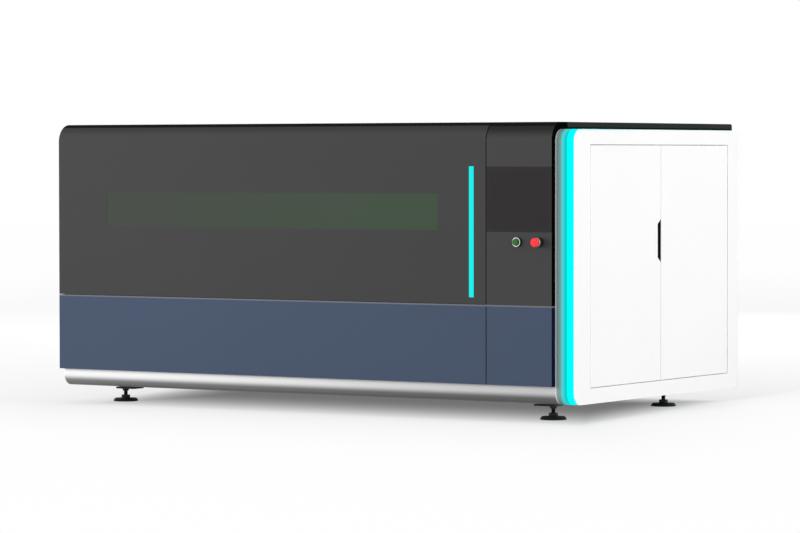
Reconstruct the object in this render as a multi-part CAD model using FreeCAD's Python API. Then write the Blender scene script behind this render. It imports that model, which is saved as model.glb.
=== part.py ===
import FreeCAD, Part
import math
import os

# Enclosed flat-bed fiber laser cutting machine, in millimetres.
# While it is drawn, X runs along the machine from the left end of the front shell, Y goes back from
# the front face and Z goes up from the floor. The finished pieces are moved so that the origin is the
# middle of the footprint, on the floor.

V = FreeCAD.Vector

# Outer shell: folded panels over the front and the roof
shell_length = 4000.0       # front and roof panels, end to end
shell_height = 1950.0       # floor to the top of the roof
shell_depth = 45.0          # how deep the folded panels are
brow_radius = 120.0         # rounding between the front and the roof
roof_overhang = 154.0       # roof's rear edge beyond the rear panels
roof_rear_radius = 18.0     # rounding of that edge
skin = 3.0                  # sheet that every panel is folded from
grip_flats = 24             # flats round small caps, bezels and tubes, which look round
seam = 5.0                  # joint between neighbouring front panels
console_width = 494.0       # fixed column at the right, with screen and buttons
hinge_gap = 30.0            # slot across the top in which the hatch hinges lie
hinge_gap_front = 175.0     # front face to the front of that slot
sill_height = 754.0         # middle of the light strip between hatch and skirt
sill_strip = 10.0           # height of that strip
hatch_seal_gap = 3.0        # closed hatch to the strip below it
skirt_bottom = 238.0        # lower edge of the blue skirts

# Inner body: the rounded box that the shell is hung on
body_rear = 2371.0          # front face to the rear panels
body_bottom = 118.0         # floor to the belly pan
body_corner = 80.0          # rounding of the silver plinth
body_left = 8.0             # how far the inner body is set in at the left end
plinth_flange = 75.0        # flat part of the plinth below, behind its rounding

# Side module at the right end
rim_width = 88.0            # silver rim
light_width = 50.0          # light diffuser
rim_wall = 60.0             # width of the rim's section
light_wall = 30.0           # width of the diffuser's section
module_corner = 80.0        # front corners, seen from the side
module_rear_fold = 30.0     # rounding of the upright rear edge
module_top_gap = 2.0        # below the roof panel
door_gap = 4.0              # around and between the doors
door_bottom_margin = 104.0  # module's lower edge to the middle of the gap below the doors
door_top_margin = 102.0     # module's upper edge to the middle of the gap above them
door_front_margin = 213.0   # module's front to the middle of the front door's hinge gap
door_rear_margin = 182.0    # module's rear to the middle of the rear door's hinge gap
door_middle = 1217.0        # front face to the middle of the gap between the doors
door_depth = 25.0           # folded edge of a door
door_edge_radius = 4.8      # rounding of a door's hinge edge
door_return = 30.0          # depth of the frame's edge round the doors
door_hinge_margin = 160.0   # hinge from the door's top and bottom
door_hinge_height = 90.0
door_hinge_width = 40.0
door_hinge_depth = 12.0
door_hinge_gap = 10.0       # fixed half behind the closed door
running_gap = 0.05          # radial clearance of a pin or rod that turns or slides
handle_width = 42.0         # black finger slot in the front door's free edge
handle_bottom = 1019.0
handle_top = 1302.0
handle_slope = 31.0         # height of the slot's slanted ends
handle_pocket_depth = 20.0
stiffener_height = 120.0    # hat section across the inside of a door

# Hatch
window_left = 421.0         # from the hatch's left edge
window_right_margin = 371.5
window_below_roof = 468.0   # roof's top to the window
window_height = 239.0
window_pane = 8.0           # laser-safe pane
window_recess = 1.0         # pane below the painted face
window_lip = 12.0           # how far the frame reaches over the pane's edge
window_frame_width = 25.0
light_bar_margin = 92.5     # bar to the hatch's right edge
light_bar_width = 35.0
light_bar_above_sill = 52.0
light_bar_below_roof = 288.0
light_bar_lip = 8.0
light_bar_depth = 12.0
light_bar_proud = 1.0
hatch_hinge_count = 3
hatch_hinge_margin = 320.0  # first and last hinge from the hatch's ends
hinge_drop = 14.0           # hinge axis below the roof's top
hinge_radius = 11.0
hinge_bevel = 6.6           # bevelled corners of the knuckles
hinge_pin_radius = 5.0
hinge_knuckle = 40.0        # length of one knuckle
hinge_leaf = 10.0           # thickness of the leaves
knuckle_gap = 0.5

# Gas struts that carry the hatch
strut_side_gap = 28.0       # strut's middle from the frame rail beside it
strut_foot_y = 250.0        # fixed pivot, on the frame
strut_foot_drop = 88.0      # ... below the roof's top
strut_head_y = 68.0         # moving pivot, on the closed hatch
strut_head_drop = 390.0     # ... below the roof's top
strut_tube_radius = 14.0
strut_rod_radius = 6.0
strut_tube_length = 262.0
strut_rod_length = 285.0
strut_eye_radius = 14.0     # half the length of a strut's flat end
strut_eye_half = 11.2       # half its height
strut_eye_width = 14.0
strut_eye_gap = 4.0         # flat end to the lug beside it
strut_stud_radius = 6.0
strut_lug = 6.0             # plate on the hatch, beside the flat end
strut_lug_bevel = 11.2

# Console
screen_edge = 3.0           # glass to the edge of the column
screen_below_roof = 290.0   # roof's top to the screen
screen_height = 423.0
screen_glass = 3.0
screen_housing_margin = 50.0
screen_housing_depth = 40.0
start_inset = 256.0         # start button's axis to the column's right edge
stop_inset = 90.0           # emergency stop's axis to the same edge
button_drop = 66.0          # both axes below the screen
plunger_half = 6.0          # square plungers, half their width
plunger_floor = 4.0         # bottom of the guides, from the panel's face
start_bezel_radius = 31.5
start_bezel_height = 24.0
start_cap_radius = 21.0
start_cap_height = 12.0
start_cap_proud = 5.0       # in front of the bezel
start_travel = 4.0
stop_base_radius = 27.0
stop_base_height = 38.0
stop_head_radius = 30.0
stop_head_height = 26.0
stop_head_bevel = 6.0
stop_gap = 6.0              # housing to the released head
stop_travel = 5.5
stop_pin_radius = 4.0
stop_pin_length = 14.0
button_clearance = 0.3

# Levelling feet
foot_inset = 325.0          # shank from either end of the machine
foot_front = 340.0          # front face to the front feet
foot_rear_inset = 513.0     # rear feet from the rear panels
pad_radius = 85.0
pad_height = 22.0
pad_bevel = 12.0
spanner_radius = 13.0       # hexagonal shank, centre to corner
foot_plate_height = 90.0    # floor to the foot plate
foot_plate = 12.0
foot_plate_long = 113.0     # plate from the shank towards the machine's middle
foot_plate_short = 40.0
foot_plate_half = 60.0

# Welded base
stub_height = 20.0
stub_size = 100.0
base_beam = 120.0
base_wall = 6.0
base_left = 120.0
base_right_inset = 25.0     # long beams' ends from the shell's right end
cross_count = 5
cross_inset = 200.0         # first and last cross beam from the shell's ends
cross_beam = 100.0
cross_end_gap = 12.0
side_beam_front = 160.0
side_beam_width = 130.0
side_beam_top = 690.0
post = 60.0
post_wall = 4.0
post_left = 12.0
cabinet_post_inset = 80.0   # last posts from the shell's right end
chamber_overlap = 38.0      # partition wall behind the hatch's right end
top_rail_gap = 5.0          # hatch flange to the rails across the posts
header_front = 278.0
roof_beam_count = 2
jamb_width = 90.0
jamb_gap = 3.0

# Cutting bed
bed_left = 330.0
bed_right_gap = 148.0       # last slat to the partition wall
slat_count = 16
slat_thick = 4.0
slat_front = 440.0
slat_bottom = 664.0
slat_height = 80.0
tooth_height = 28.0
tooth_pitch = 192.0
bed_tube = 60.0
bed_wall = 4.0
bed_leg_count = 3
tray_wall = 4.0
tray_height = 110.0
tray_gap = 12.0

# Gantry
rail_inset = 85.0           # tall beam's outer face to the middle of the rail
rail_width = 24.0
rail_height = 26.0
rail_flank = 7.8            # height of the straight flanks above and below the waist
rail_waist = 4.0
rack_size = 18.0
rack_gap = 2.0              # bearing block to the rack
rail_end_gap = 4.0
guide_end = 16.0
truck_left = 90.0
truck_length = 250.0
truck_top_length = 170.0
truck_shoulder = 40.0       # height of the steps in an end plate's outline
truck_thick = 50.0
block_length = 70.0
block_side = 12.0
block_top = 12.0
block_lift = 6.0            # bearing block above what carries its rail
slide_gap = 0.5
beam_bottom = 860.0
beam_height = 180.0
beam_width = 140.0
beam_wall = 10.0
beam_chamfer = 12.0
beam_offset = 20.0
motor_size = 86.0
motor_bevel = 10.75
motor_length = 150.0
gearbox_size = 70.0
gearbox_length = 45.0
y_rail = 20.0
y_rail_inset = 20.0
y_rack_set_back = 4.0       # rack behind the rails' faces
y_block_gap = 3.0           # bearing blocks to the beam
carriage_width = 240.0
carriage_plate = 15.0
carriage_margin = 55.0
carriage_rise = 60.0        # plate above the beam
carriage_drop = 10.0        # ... and below it
shelf_reach = 100.0         # shelf for the lifting motor, back over the beam
shelf_thick = 12.0
shelf_rim = 7.0
motor_inset = 10.0
z_travel = 105.0
z_guide_width = 60.0
z_guide_depth = 14.0
z_guide_length = 300.0
z_slide_width = 100.0
z_slide_depth = 26.0
z_slide_length = 190.0
z_slide_gap = 2.0
z_slide_end = 10.0
nozzle_gap = 15.0           # lowered nozzle above the teeth
nozzle_tip_radius = 3.0
nozzle_radius = 13.0
nozzle_height = 20.0
sensor_radius = 18.0
sensor_height = 40.0
lens_radius = 35.0          # half the width of the head's body
head_height = 200.0
head_chamfer = 12.0
connector_half = 14.0
connector_height = 50.0

# Right-hand cabinet
source_width = 400.0
source_length = 840.0
source_height = 980.0
source_rear = 2040.0
source_gap = 60.0
source_chamfer = 30.0
vent_count = 6
vent_rise = 120.0           # source's foot to the first vent
vent_height = 12.0
vent_pitch = 30.0
vent_length = 240.0
vent_depth = 6.0
panel_stand_off = 25.0
panel_front = 340.0
panel_rear = 1060.0
panel_bottom = 520.0
panel_top_gap = 205.0       # plate to the top of the inner body
spacer_size = 20.0
spacer_inset = 30.0
drive_count = 4
drive_width = 110.0
drive_pitch = 165.0
drive_height = 330.0
drive_depth = 150.0
drive_inset = 50.0          # first drive from the plate's front edge
drive_drop = 120.0          # drives and supply unit from the plate's upper and lower edges
fin_count = 2
fin_pitch = 60.0
fin_height = 24.0
fin_margin = 12.0
fin_depth = 8.0
supply_gap = 160.0          # drives to the supply unit below them
supply_depth = 120.0

# Rear
rear_panel_count = 3
rear_panel_gap = 3.0
louvre_count = 5
louvre_length = 420.0
louvre_height = 14.0
louvre_pitch = 40.0
louvre_bottom = 980.0
exhaust_radius = 100.0
exhaust_wall = 3.0
exhaust_length = 110.0      # spigot beyond its foot plate
exhaust_height = 1500.0
exhaust_plate_size = 240.0
exhaust_cut_size = 212.0    # square hole in the panel behind the plate

# Sizes that follow from the ones above
body_front = shell_depth
body_top = shell_height - shell_depth
body_middle = (body_front + body_rear) / 2
roof_rear = body_rear + roof_overhang
hinge_gap_rear = hinge_gap_front + hinge_gap
hinge_y = hinge_gap_front + hinge_gap / 2
top_rail_front = hinge_gap_front + top_rail_gap
hinge_z = shell_height - hinge_drop
console_left = shell_length - console_width
hatch_right = console_left - seam / 2
console_start = console_left + seam / 2
strip_bottom = sill_height - sill_strip / 2
strip_top = sill_height + sill_strip / 2
hatch_bottom = strip_top + hatch_seal_gap
window_right = hatch_right - window_right_margin
window_top = shell_height - window_below_roof
window_bottom = window_top - window_height
light_bar_left = hatch_right - light_bar_margin - light_bar_width
light_bar_bottom = sill_height + light_bar_above_sill
light_bar_top = shell_height - light_bar_below_roof
screen_top = shell_height - screen_below_roof
screen_bottom = screen_top - screen_height
button_height = screen_bottom - button_drop
start_x = shell_length - start_inset
stop_x = shell_length - stop_inset
strut_foot_z = shell_height - strut_foot_drop
strut_head_z = shell_height - strut_head_drop
rim_end = shell_length + rim_width
light_end = rim_end + light_width
module_end = light_end + skin
module_top = body_top - module_top_gap
machine_length = module_end
stop_front = -(stop_base_height + stop_gap + stop_head_height)
origin = V(machine_length / 2, (stop_front + roof_rear) / 2, 0)

foot_rear = body_rear - foot_rear_inset
plate_top = foot_plate_height + foot_plate
base_bottom = plate_top + stub_height
base_top = base_bottom + base_beam
base_right = shell_length - base_right_inset
cross_first = cross_inset
cross_last = shell_length - cross_inset
cross_top = base_top + cross_beam
post_top = body_top - post
side_beam_rear = 2 * body_middle - side_beam_front - side_beam_width
rail_y = side_beam_front + rail_inset
rail_rear_y = 2 * body_middle - rail_y
rail_top = side_beam_top + rail_height
chamber_right = console_left - chamber_overlap
bed_right = chamber_right - bed_right_gap
slat_rear = 2 * body_middle - slat_front
slat_top = slat_bottom + slat_height
strut_left_x = post_left + post + strut_side_gap
strut_right_x = chamber_right - post - strut_side_gap
cabinet_end_post = shell_length - cabinet_post_inset
door_front = body_front + door_front_margin
door_rear = body_rear - door_rear_margin
door_bottom = body_bottom + door_bottom_margin
door_top = module_top - door_top_margin
door_left_edge = door_front + door_gap / 2
door_right_edge = door_rear - door_gap / 2
door_low = door_bottom + door_gap / 2
door_high = door_top - door_gap / 2
beam_left = truck_left + beam_offset
beam_face = beam_left + beam_width
beam_top = beam_bottom + beam_height
carriage_back = beam_face + y_rail + block_top
carriage_face = carriage_back + carriage_plate
carriage_top = beam_top + carriage_rise
carriage_y = rail_y + truck_thick / 2 + carriage_margin + carriage_width / 2
head_x = carriage_face + z_slide_depth + slide_gap + lens_radius
nozzle_tip = slat_top + nozzle_gap + z_travel
panel_top = body_top - panel_top_gap


# ---- Drawing helpers ----

def box(x0, x1, y0, y1, z0, z1):
    """Block between two corners."""
    return Part.makeBox(x1 - x0, y1 - y0, z1 - z0, V(x0, y0, z0))


def line(a, b):
    return Part.LineSegment(a, b).toShape()


def arc(a, middle, b):
    return Part.Arc(a, middle, b).toShape()


def polygon(points):
    """Flat face with straight edges through the points."""
    return Part.Face(Part.makePolygon(points + points[:1]))


def tube_x(x0, x1, y0, y1, z0, z1, wall):
    """Rectangular tube along X, open at both ends."""
    hole = box(x0 - 1, x1 + 1, y0 + wall, y1 - wall, z0 + wall, z1 - wall)
    return box(x0, x1, y0, y1, z0, z1).cut(hole)


def capped_tube(x0, x1, y0, y1, z0, z1, wall):
    """Rectangular tube with caps welded on both ends, hollow inside."""
    hollow = box(x0 + wall, x1 - wall, y0 + wall, y1 - wall, z0 + wall, z1 - wall)
    return box(x0, x1, y0, y1, z0, z1).cut(hollow)


def tube_y(x0, x1, y0, y1, z0, z1, wall):
    """Rectangular tube along Y, open at both ends."""
    hole = box(x0 + wall, x1 - wall, y0 - 1, y1 + 1, z0 + wall, z1 - wall)
    return box(x0, x1, y0, y1, z0, z1).cut(hole)


def tube_z(x0, x1, y0, y1, z0, z1, wall):
    """Upright rectangular tube, open at both ends."""
    hole = box(x0 + wall, x1 - wall, y0 + wall, y1 - wall, z0 - 1, z1 + 1)
    return box(x0, x1, y0, y1, z0, z1).cut(hole)


def group(shapes):
    """Separate solids that share one node."""
    return Part.makeCompound(shapes)


def spread(first, last, count):
    """Evenly spaced places from first to last."""
    step = (last - first) / (count - 1)
    return [first + step * i for i in range(count)]


def mirror_depth(shape):
    """The same piece on the other side of the inner body's middle plane."""
    return shape.mirror(V(0, body_middle, 0), V(0, 1, 0))


def many_sided(radius, height, centre, axis):
    """Block with a regular outline of small flats, standing on its centre along an axis."""
    turns = [2 * math.pi * i / grip_flats for i in range(grip_flats)]
    points = [V(radius * math.cos(a), radius * math.sin(a), 0) for a in turns]
    block = polygon(points).extrude(V(0, 0, height))
    block.Placement = FreeCAD.Placement(centre, FreeCAD.Rotation(V(0, 0, 1), axis))
    return block


def rounded_side(x, length, inset, front_radius, rear_radius, top):
    """Block whose side view is a rectangle with rounded corners; a rear radius of 0 is square."""
    y0 = body_front + inset
    y1 = body_rear - inset
    z0 = body_bottom + inset
    z1 = top - inset
    a = max(front_radius - inset, 1.0)
    b = max(rear_radius - inset, 0.0)
    k = 1 - math.sqrt(0.5)
    edges = [line(V(x, y0 + a, z0), V(x, y1 - b, z0))]
    if b:
        edges.append(arc(V(x, y1 - b, z0), V(x, y1 - b * k, z0 + b * k), V(x, y1, z0 + b)))
    edges.append(line(V(x, y1, z0 + b), V(x, y1, z1 - b)))
    if b:
        edges.append(arc(V(x, y1, z1 - b), V(x, y1 - b * k, z1 - b * k), V(x, y1 - b, z1)))
    edges += [
        line(V(x, y1 - b, z1), V(x, y0 + a, z1)),
        arc(V(x, y0 + a, z1), V(x, y0 + a * k, z1 - a * k), V(x, y0, z1 - a)),
        line(V(x, y0, z1 - a), V(x, y0, z0 + a)),
        arc(V(x, y0, z0 + a), V(x, y0 + a * k, z0 + a * k), V(x, y0 + a, z0)),
    ]
    return Part.Face(Part.Wire(edges)).extrude(V(length, 0, 0))


def brow_section(x, length, bottom, back, outside, inside):
    """Front, rounded brow and top flange in one bent section.

    The two faces lie outside and inside mm behind the shell's outer surface; the section starts at
    the height bottom and its flange ends back mm behind the front face.
    """
    outer = brow_radius - outside
    inner = brow_radius - inside
    cy = brow_radius
    cz = shell_height - brow_radius
    k = math.sqrt(0.5)
    edges = [
        line(V(x, outside, bottom), V(x, outside, cz)),
        arc(V(x, outside, cz), V(x, cy - outer * k, cz + outer * k), V(x, cy, cz + outer)),
        line(V(x, cy, cz + outer), V(x, back, cz + outer)),
        line(V(x, back, cz + outer), V(x, back, cz + inner)),
        line(V(x, back, cz + inner), V(x, cy, cz + inner)),
        arc(V(x, cy, cz + inner), V(x, cy - inner * k, cz + inner * k), V(x, inside, cz)),
        line(V(x, inside, cz), V(x, inside, bottom)),
        line(V(x, inside, bottom), V(x, outside, bottom)),
    ]
    return Part.Face(Part.Wire(edges)).extrude(V(length, 0, 0))


def brow_pan(x0, x1, bottom, back):
    """Folded front panel with turned-in edges all round, open towards the machine."""
    outer = brow_section(x0, x1 - x0, bottom, back, 0, shell_depth)
    inner = brow_section(x0 + skin, x1 - x0 - 2 * skin, bottom + skin, back - skin,
                         skin, shell_depth + 1)
    return outer.cut(inner)


def flat_pan(x0, x1, bottom, top):
    """Flat front panel with turned-in edges all round."""
    inner = box(x0 + skin, x1 - skin, skin, shell_depth + 1, bottom + skin, top - skin)
    return box(x0, x1, 0, shell_depth, bottom, top).cut(inner)


# ---- Levelling feet ----

def foot_places():
    """Shank positions, with the direction from each towards the machine's middle."""
    right = machine_length - foot_inset
    return [(x, y, inward) for x, inward in ((foot_inset, 1), (right, -1))
            for y in (foot_front, foot_rear)]


def levelling_feet():
    """Each foot in one piece: bevelled round pad, and a hexagonal shank for the spanner."""
    feet = []
    for x, y, _ in foot_places():
        pad = many_sided(pad_radius, pad_height, V(x, y, 0), V(0, 0, 1))
        rim = [e for e in pad.Edges if abs(e.CenterOfMass.z - pad_height) < 1e-6]
        pad = pad.makeChamfer(pad_bevel, rim)
        corners = [V(x + spanner_radius * math.cos(math.radians(60 * i)),
                     y + spanner_radius * math.sin(math.radians(60 * i)), pad_height)
                   for i in range(6)]
        shank = polygon(corners).extrude(V(0, 0, foot_plate_height - pad_height))
        feet.append(pad.fuse(shank))
    return group(feet)


def foot_plates():
    plates = []
    for x, y, inward in foot_places():
        near = x - inward * foot_plate_short
        far = x + inward * foot_plate_long
        plates.append(box(min(near, far), max(near, far), y - foot_plate_half,
                          y + foot_plate_half, foot_plate_height, plate_top))
    return group(plates)


# ---- Welded base and upper frame ----

def base_frame():
    """Leg stubs, long beams, cross beams and the two tall beams that carry the rails."""
    members = []
    for x, y, inward in foot_places():
        middle = x + inward * (foot_plate_long - foot_plate_short) / 2
        half = stub_size / 2
        members.append(tube_z(middle - half, middle + half, y - half, y + half,
                              plate_top, base_bottom, base_wall))
    for y in (foot_front, foot_rear):
        members.append(capped_tube(base_left, base_right, y - base_beam / 2, y + base_beam / 2,
                                   base_bottom, base_top, base_wall))
    for x in spread(cross_first, cross_last, cross_count):
        members.append(tube_y(x - cross_beam / 2, x + cross_beam / 2,
                              body_front + cross_end_gap, body_rear - cross_end_gap,
                              base_top, cross_top, base_wall))
    for y in (side_beam_front, side_beam_rear):
        members.append(capped_tube(post_left, cabinet_end_post + post, y, y + side_beam_width,
                                   cross_top, side_beam_top, base_wall))
    return group(members)


def upper_frame():
    """Posts on the tall beams, rails across their tops and headers under the roof."""
    members = []
    rear = 2 * body_middle - side_beam_front
    for x in (post_left, chamber_right - post, cabinet_end_post):
        members.append(tube_z(x, x + post, side_beam_front, side_beam_front + post,
                              side_beam_top, post_top, post_wall))
        members.append(tube_z(x, x + post, rear - post, rear, side_beam_top, post_top, post_wall))
        members.append(tube_y(x, x + post, top_rail_front, rear, post_top, body_top, post_wall))
    for x0, x1 in ((post_left + post, chamber_right - post),
                   (chamber_right + skin, cabinet_end_post)):
        members.append(tube_x(x0, x1, header_front, header_front + post, post_top, body_top,
                              post_wall))
        members.append(tube_x(x0, x1, rear - post, rear, post_top, body_top, post_wall))
    step = (chamber_right - post_left) / (roof_beam_count + 1)
    for i in range(roof_beam_count):
        x = post_left + step * (i + 1)
        members.append(tube_y(x - post / 2, x + post / 2, header_front + post, rear - post,
                              post_top, body_top, post_wall))
    return group(members)


def strut_studs():
    """Studs on the frame's top rails, on which the gas struts pivot."""
    reach = strut_side_gap + strut_eye_width / 2 + strut_eye_gap
    return group([Part.makeCylinder(strut_stud_radius, reach, V(x, strut_foot_y, strut_foot_z),
                                    V(way, 0, 0))
                  for x, way in ((post_left + post, 1), (chamber_right - post, -1))])


# ---- Inner body ----

def plinth():
    """Front plinth: upright face, rounded lower edge and a flange below."""
    length = shell_length - body_left
    outline = rounded_side(body_left, length, 0, body_corner, body_corner, body_top)
    inside = rounded_side(body_left - 1, length + 2, skin, body_corner, body_corner, body_top)
    sheet = outline.cut(inside)
    keep = box(body_left, shell_length, body_front - 1, body_front + body_corner + plinth_flange,
               body_bottom - 1, strip_bottom)
    return sheet.common(keep)


def belly_pan():
    """Floor sheet between the plinths, with clear holes for the leg stubs."""
    front = body_front + body_corner + plinth_flange
    pan = box(body_left, shell_length, front, 2 * body_middle - front, body_bottom,
              body_bottom + skin)
    for x, y, inward in foot_places():
        middle = x + inward * (foot_plate_long - foot_plate_short) / 2
        half = stub_size / 2 + seam
        pan = pan.cut(box(middle - half, middle + half, y - half, y + half,
                          body_bottom - 1, body_bottom + skin + 1))
    return pan


def left_end_wall():
    return rounded_side(body_left, skin, skin, body_corner, body_corner, body_top)


def partition_wall():
    """Wall between the cutting room and the cabinet, with the jamb that the hatch closes on."""
    wall = box(chamber_right, chamber_right + skin, body_front + jamb_gap, body_rear - skin,
               cross_top, body_top - jamb_gap)
    for y in (side_beam_front, side_beam_rear):
        wall = wall.cut(box(chamber_right - 1, chamber_right + skin + 1, y, y + side_beam_width,
                            cross_top - 1, side_beam_top))
    corner = brow_section(chamber_right - 1, skin + 2, cross_top, hinge_gap_rear + seam,
                          -1, shell_depth + jamb_gap)
    wall = wall.cut(corner)
    jamb = box(chamber_right, chamber_right + jamb_width, body_front + jamb_gap,
               body_front + jamb_gap + skin, strip_top, shell_height - brow_radius)
    return wall.fuse(jamb).removeSplitter()


def exhaust_spigot(x):
    """Round duct collar on a square foot plate, bolted over the hole in the middle panel."""
    half = exhaust_plate_size / 2
    plate = box(x - half, x + half, body_rear, body_rear + skin,
                exhaust_height - half, exhaust_height + half)
    start = V(x, body_rear, exhaust_height)
    length = skin + exhaust_length
    collar = plate.fuse(Part.makeCylinder(exhaust_radius, length, start, V(0, 1, 0)))
    return collar.cut(Part.makeCylinder(exhaust_radius - exhaust_wall, length, start, V(0, 1, 0)))


def rear_panels():
    """Rear plinth and bolt-on panels: the middle one with the fume spigot, the right one louvred."""
    cut = exhaust_cut_size / 2
    panels = [mirror_depth(plinth())]
    width = (shell_length - body_left - (rear_panel_count - 1) * rear_panel_gap) / rear_panel_count
    for i in range(rear_panel_count):
        x = body_left + i * (width + rear_panel_gap)
        panel = box(x, x + width, body_rear - skin, body_rear, strip_bottom, body_top - skin)
        middle = x + width / 2
        if i == rear_panel_count // 2:
            panel = panel.cut(box(middle - cut, middle + cut, body_rear - skin - 1, body_rear + 1,
                                  exhaust_height - cut, exhaust_height + cut))
            panels.append(exhaust_spigot(middle))
        if i == rear_panel_count - 1:
            for k in range(louvre_count):
                z = louvre_bottom + k * louvre_pitch
                panel = panel.cut(box(middle - louvre_length / 2, middle + louvre_length / 2,
                                      body_rear - skin - 1, body_rear + 1, z, z + louvre_height))
        panels.append(panel)
    return group(panels)


# ---- Outer shell ----

def roof_panel():
    """Shallow folded tray, upside down, with a rounded rear edge."""
    block = box(0, shell_length, hinge_gap_rear, roof_rear, body_top, shell_height)
    inner = box(skin, shell_length - skin, hinge_gap_rear + skin, roof_rear - skin,
                body_top - 1, shell_height - skin)
    edge = [e for e in block.Edges
            if abs(e.CenterOfMass.y - roof_rear) < 1e-6 and abs(e.CenterOfMass.z - shell_height) < 1e-6]
    inner_edge = [e for e in inner.Edges
                  if abs(e.CenterOfMass.y - roof_rear + skin) < 1e-6
                  and abs(e.CenterOfMass.z - shell_height + skin) < 1e-6]
    block = block.makeFillet(roof_rear_radius, edge)
    inner = inner.makeFillet(roof_rear_radius - skin, inner_edge)
    return block.cut(inner)


def lower_skirt_left():
    return flat_pan(0, hatch_right, skirt_bottom, strip_bottom)


def lower_skirt_right():
    return flat_pan(console_start, shell_length, skirt_bottom, strip_bottom)


def sill_strip_bar():
    """Light metal strip along the top of the skirts, on which the hatch closes."""
    return box(0, shell_length, 0, shell_depth, strip_bottom, strip_top)


def console_panel():
    """Fixed column with the cut-out for the screen."""
    pan = brow_pan(console_start, shell_length, strip_top, hinge_gap_rear)
    pan = pan.cut(box(console_start + screen_housing_margin, shell_length - screen_housing_margin,
                      -1, skin + 1, screen_bottom + screen_housing_margin / 2,
                      screen_top - screen_housing_margin / 2))
    return pan


def touch_screen():
    """Glass over the full width of the column, with a bevelled front edge."""
    glass = box(console_start + screen_edge, shell_length - screen_edge, -screen_glass, 0,
                screen_bottom, screen_top)
    front = [e for e in glass.Edges if abs(e.CenterOfMass.y + screen_glass) < 1e-6]
    return glass.makeChamfer(screen_glass / 3, front)


def screen_housing():
    return box(console_start + screen_housing_margin, shell_length - screen_housing_margin,
               0, screen_housing_depth, screen_bottom + screen_housing_margin / 2,
               screen_top - screen_housing_margin / 2)


# ---- Start button and emergency stop ----

def front_block(radius, low, high, x):
    """Many-sided block on a button's axis; heights run out of the panel, to the operator."""
    return many_sided(radius, high - low, V(x, -low, button_height), V(0, -1, 0))


def plunger(x, half, low, high):
    """Square plunger of a button, centred on its axis."""
    return box(x - half, x + half, -high, -low, button_height - half, button_height + half)


def start_bezel():
    """Bezel with a shallow well for the cap and a square guide for its plunger."""
    top = start_bezel_height
    well = top + start_cap_proud - start_cap_height - start_travel - 1
    bezel = front_block(start_bezel_radius, 0, top, start_x)
    bezel = bezel.cut(front_block(start_cap_radius + button_clearance, well, top + 1, start_x))
    return bezel.cut(plunger(start_x, plunger_half + button_clearance, plunger_floor, top))


def start_button_cap():
    """Cap with a square plunger."""
    top = start_bezel_height + start_cap_proud
    low = top - start_cap_height
    stem = plunger(start_x, plunger_half, plunger_floor + start_travel + 1, low)
    return front_block(start_cap_radius, low, top, start_x).fuse(stem)


def stop_base():
    """Housing of the emergency stop, with the square guide for its plunger."""
    guide = plunger(stop_x, plunger_half + button_clearance, plunger_floor, stop_base_height + 1)
    return front_block(stop_base_radius, 0, stop_base_height, stop_x).cut(guide)


def stop_plunger():
    """Square plunger that slides in the housing; its round end carries the head."""
    low = stop_base_height + stop_gap - button_clearance
    stem = plunger(stop_x, plunger_half, plunger_floor + stop_travel + 1, low)
    pin = Part.makeCylinder(stop_pin_radius, stop_pin_length, V(stop_x, -low, button_height),
                            V(0, -1, 0))
    return stem.fuse(pin)


def stop_head():
    """Mushroom head with bevelled rim, free to be twisted on the plunger's end."""
    low = stop_base_height + stop_gap
    top = low + stop_head_height
    head = front_block(stop_head_radius, low, top, stop_x)
    rim = [e for e in head.Edges if abs(e.CenterOfMass.y + top) < 1e-6]
    head = head.makeChamfer(stop_head_bevel, rim)
    depth = stop_pin_length + button_clearance
    return head.cut(Part.makeCylinder(stop_pin_radius + running_gap, depth,
                                      V(stop_x, -low, button_height), V(0, -1, 0)))


# ---- Side module ----

def module_block(inset, fold):
    """Whole side module as a block, with its upright rear edge rounded."""
    x0 = shell_length - (1 if inset else 0)
    x1 = module_end - inset
    y1 = body_rear - inset
    k = 1 - math.sqrt(0.5)
    edges = [
        line(V(x0, 0, 0), V(x1, 0, 0)),
        line(V(x1, 0, 0), V(x1, y1 - fold, 0)),
        arc(V(x1, y1 - fold, 0), V(x1 - fold * k, y1 - fold * k, 0), V(x1 - fold, y1, 0)),
        line(V(x1 - fold, y1, 0), V(x0, y1, 0)),
        line(V(x0, y1, 0), V(x0, 0, 0)),
    ]
    plan = Part.Face(Part.Wire(edges)).extrude(V(0, 0, shell_height))
    return rounded_side(x0, x1 - x0, inset, module_corner, 0, module_top).common(plan)


def module_ring(x0, x1, wall):
    """Loop of constant width round the module's front, top and bottom."""
    outer = rounded_side(x0, x1 - x0, 0, module_corner, 0, module_top)
    inner = rounded_side(x0 - 1, x1 - x0 + 2, wall, module_corner, 0, module_top)
    rear = body_rear - module_rear_fold - skin
    keep = box(x0, x1, body_front - 1, rear, body_bottom - 1, module_top + 1)
    return outer.cut(inner).common(keep)


def side_rim():
    return module_ring(shell_length, rim_end, rim_wall)


def light_ring():
    return module_ring(rim_end, light_end, light_wall)


def side_frame():
    """White folded sheet: the face round the doors, its rounded rear edge and the door return."""
    sheet = module_block(0, module_rear_fold).cut(module_block(skin, module_rear_fold - skin))
    rear = body_rear - module_rear_fold - skin
    face = box(light_end, module_end + 1, 0, body_rear + 1, 0, shell_height)
    back = box(shell_length, module_end + 1, rear, body_rear + 1, 0, shell_height)
    sheet = sheet.common(face.fuse(back))
    y0 = door_front - door_gap / 2
    y1 = door_rear + door_gap / 2
    z0 = door_bottom - door_gap / 2
    z1 = door_top + door_gap / 2
    edge = box(light_end - door_return, light_end, y0 - skin, y1 + skin, z0 - skin, z1 + skin)
    opening = box(shell_length, module_end + 1, y0, y1, z0, z1)
    return sheet.fuse(edge).cut(opening)


def hinge_heights():
    """Two concealed hinges to a door, low and high."""
    return (door_low + door_hinge_margin, door_high - door_hinge_margin - door_hinge_height)


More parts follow.
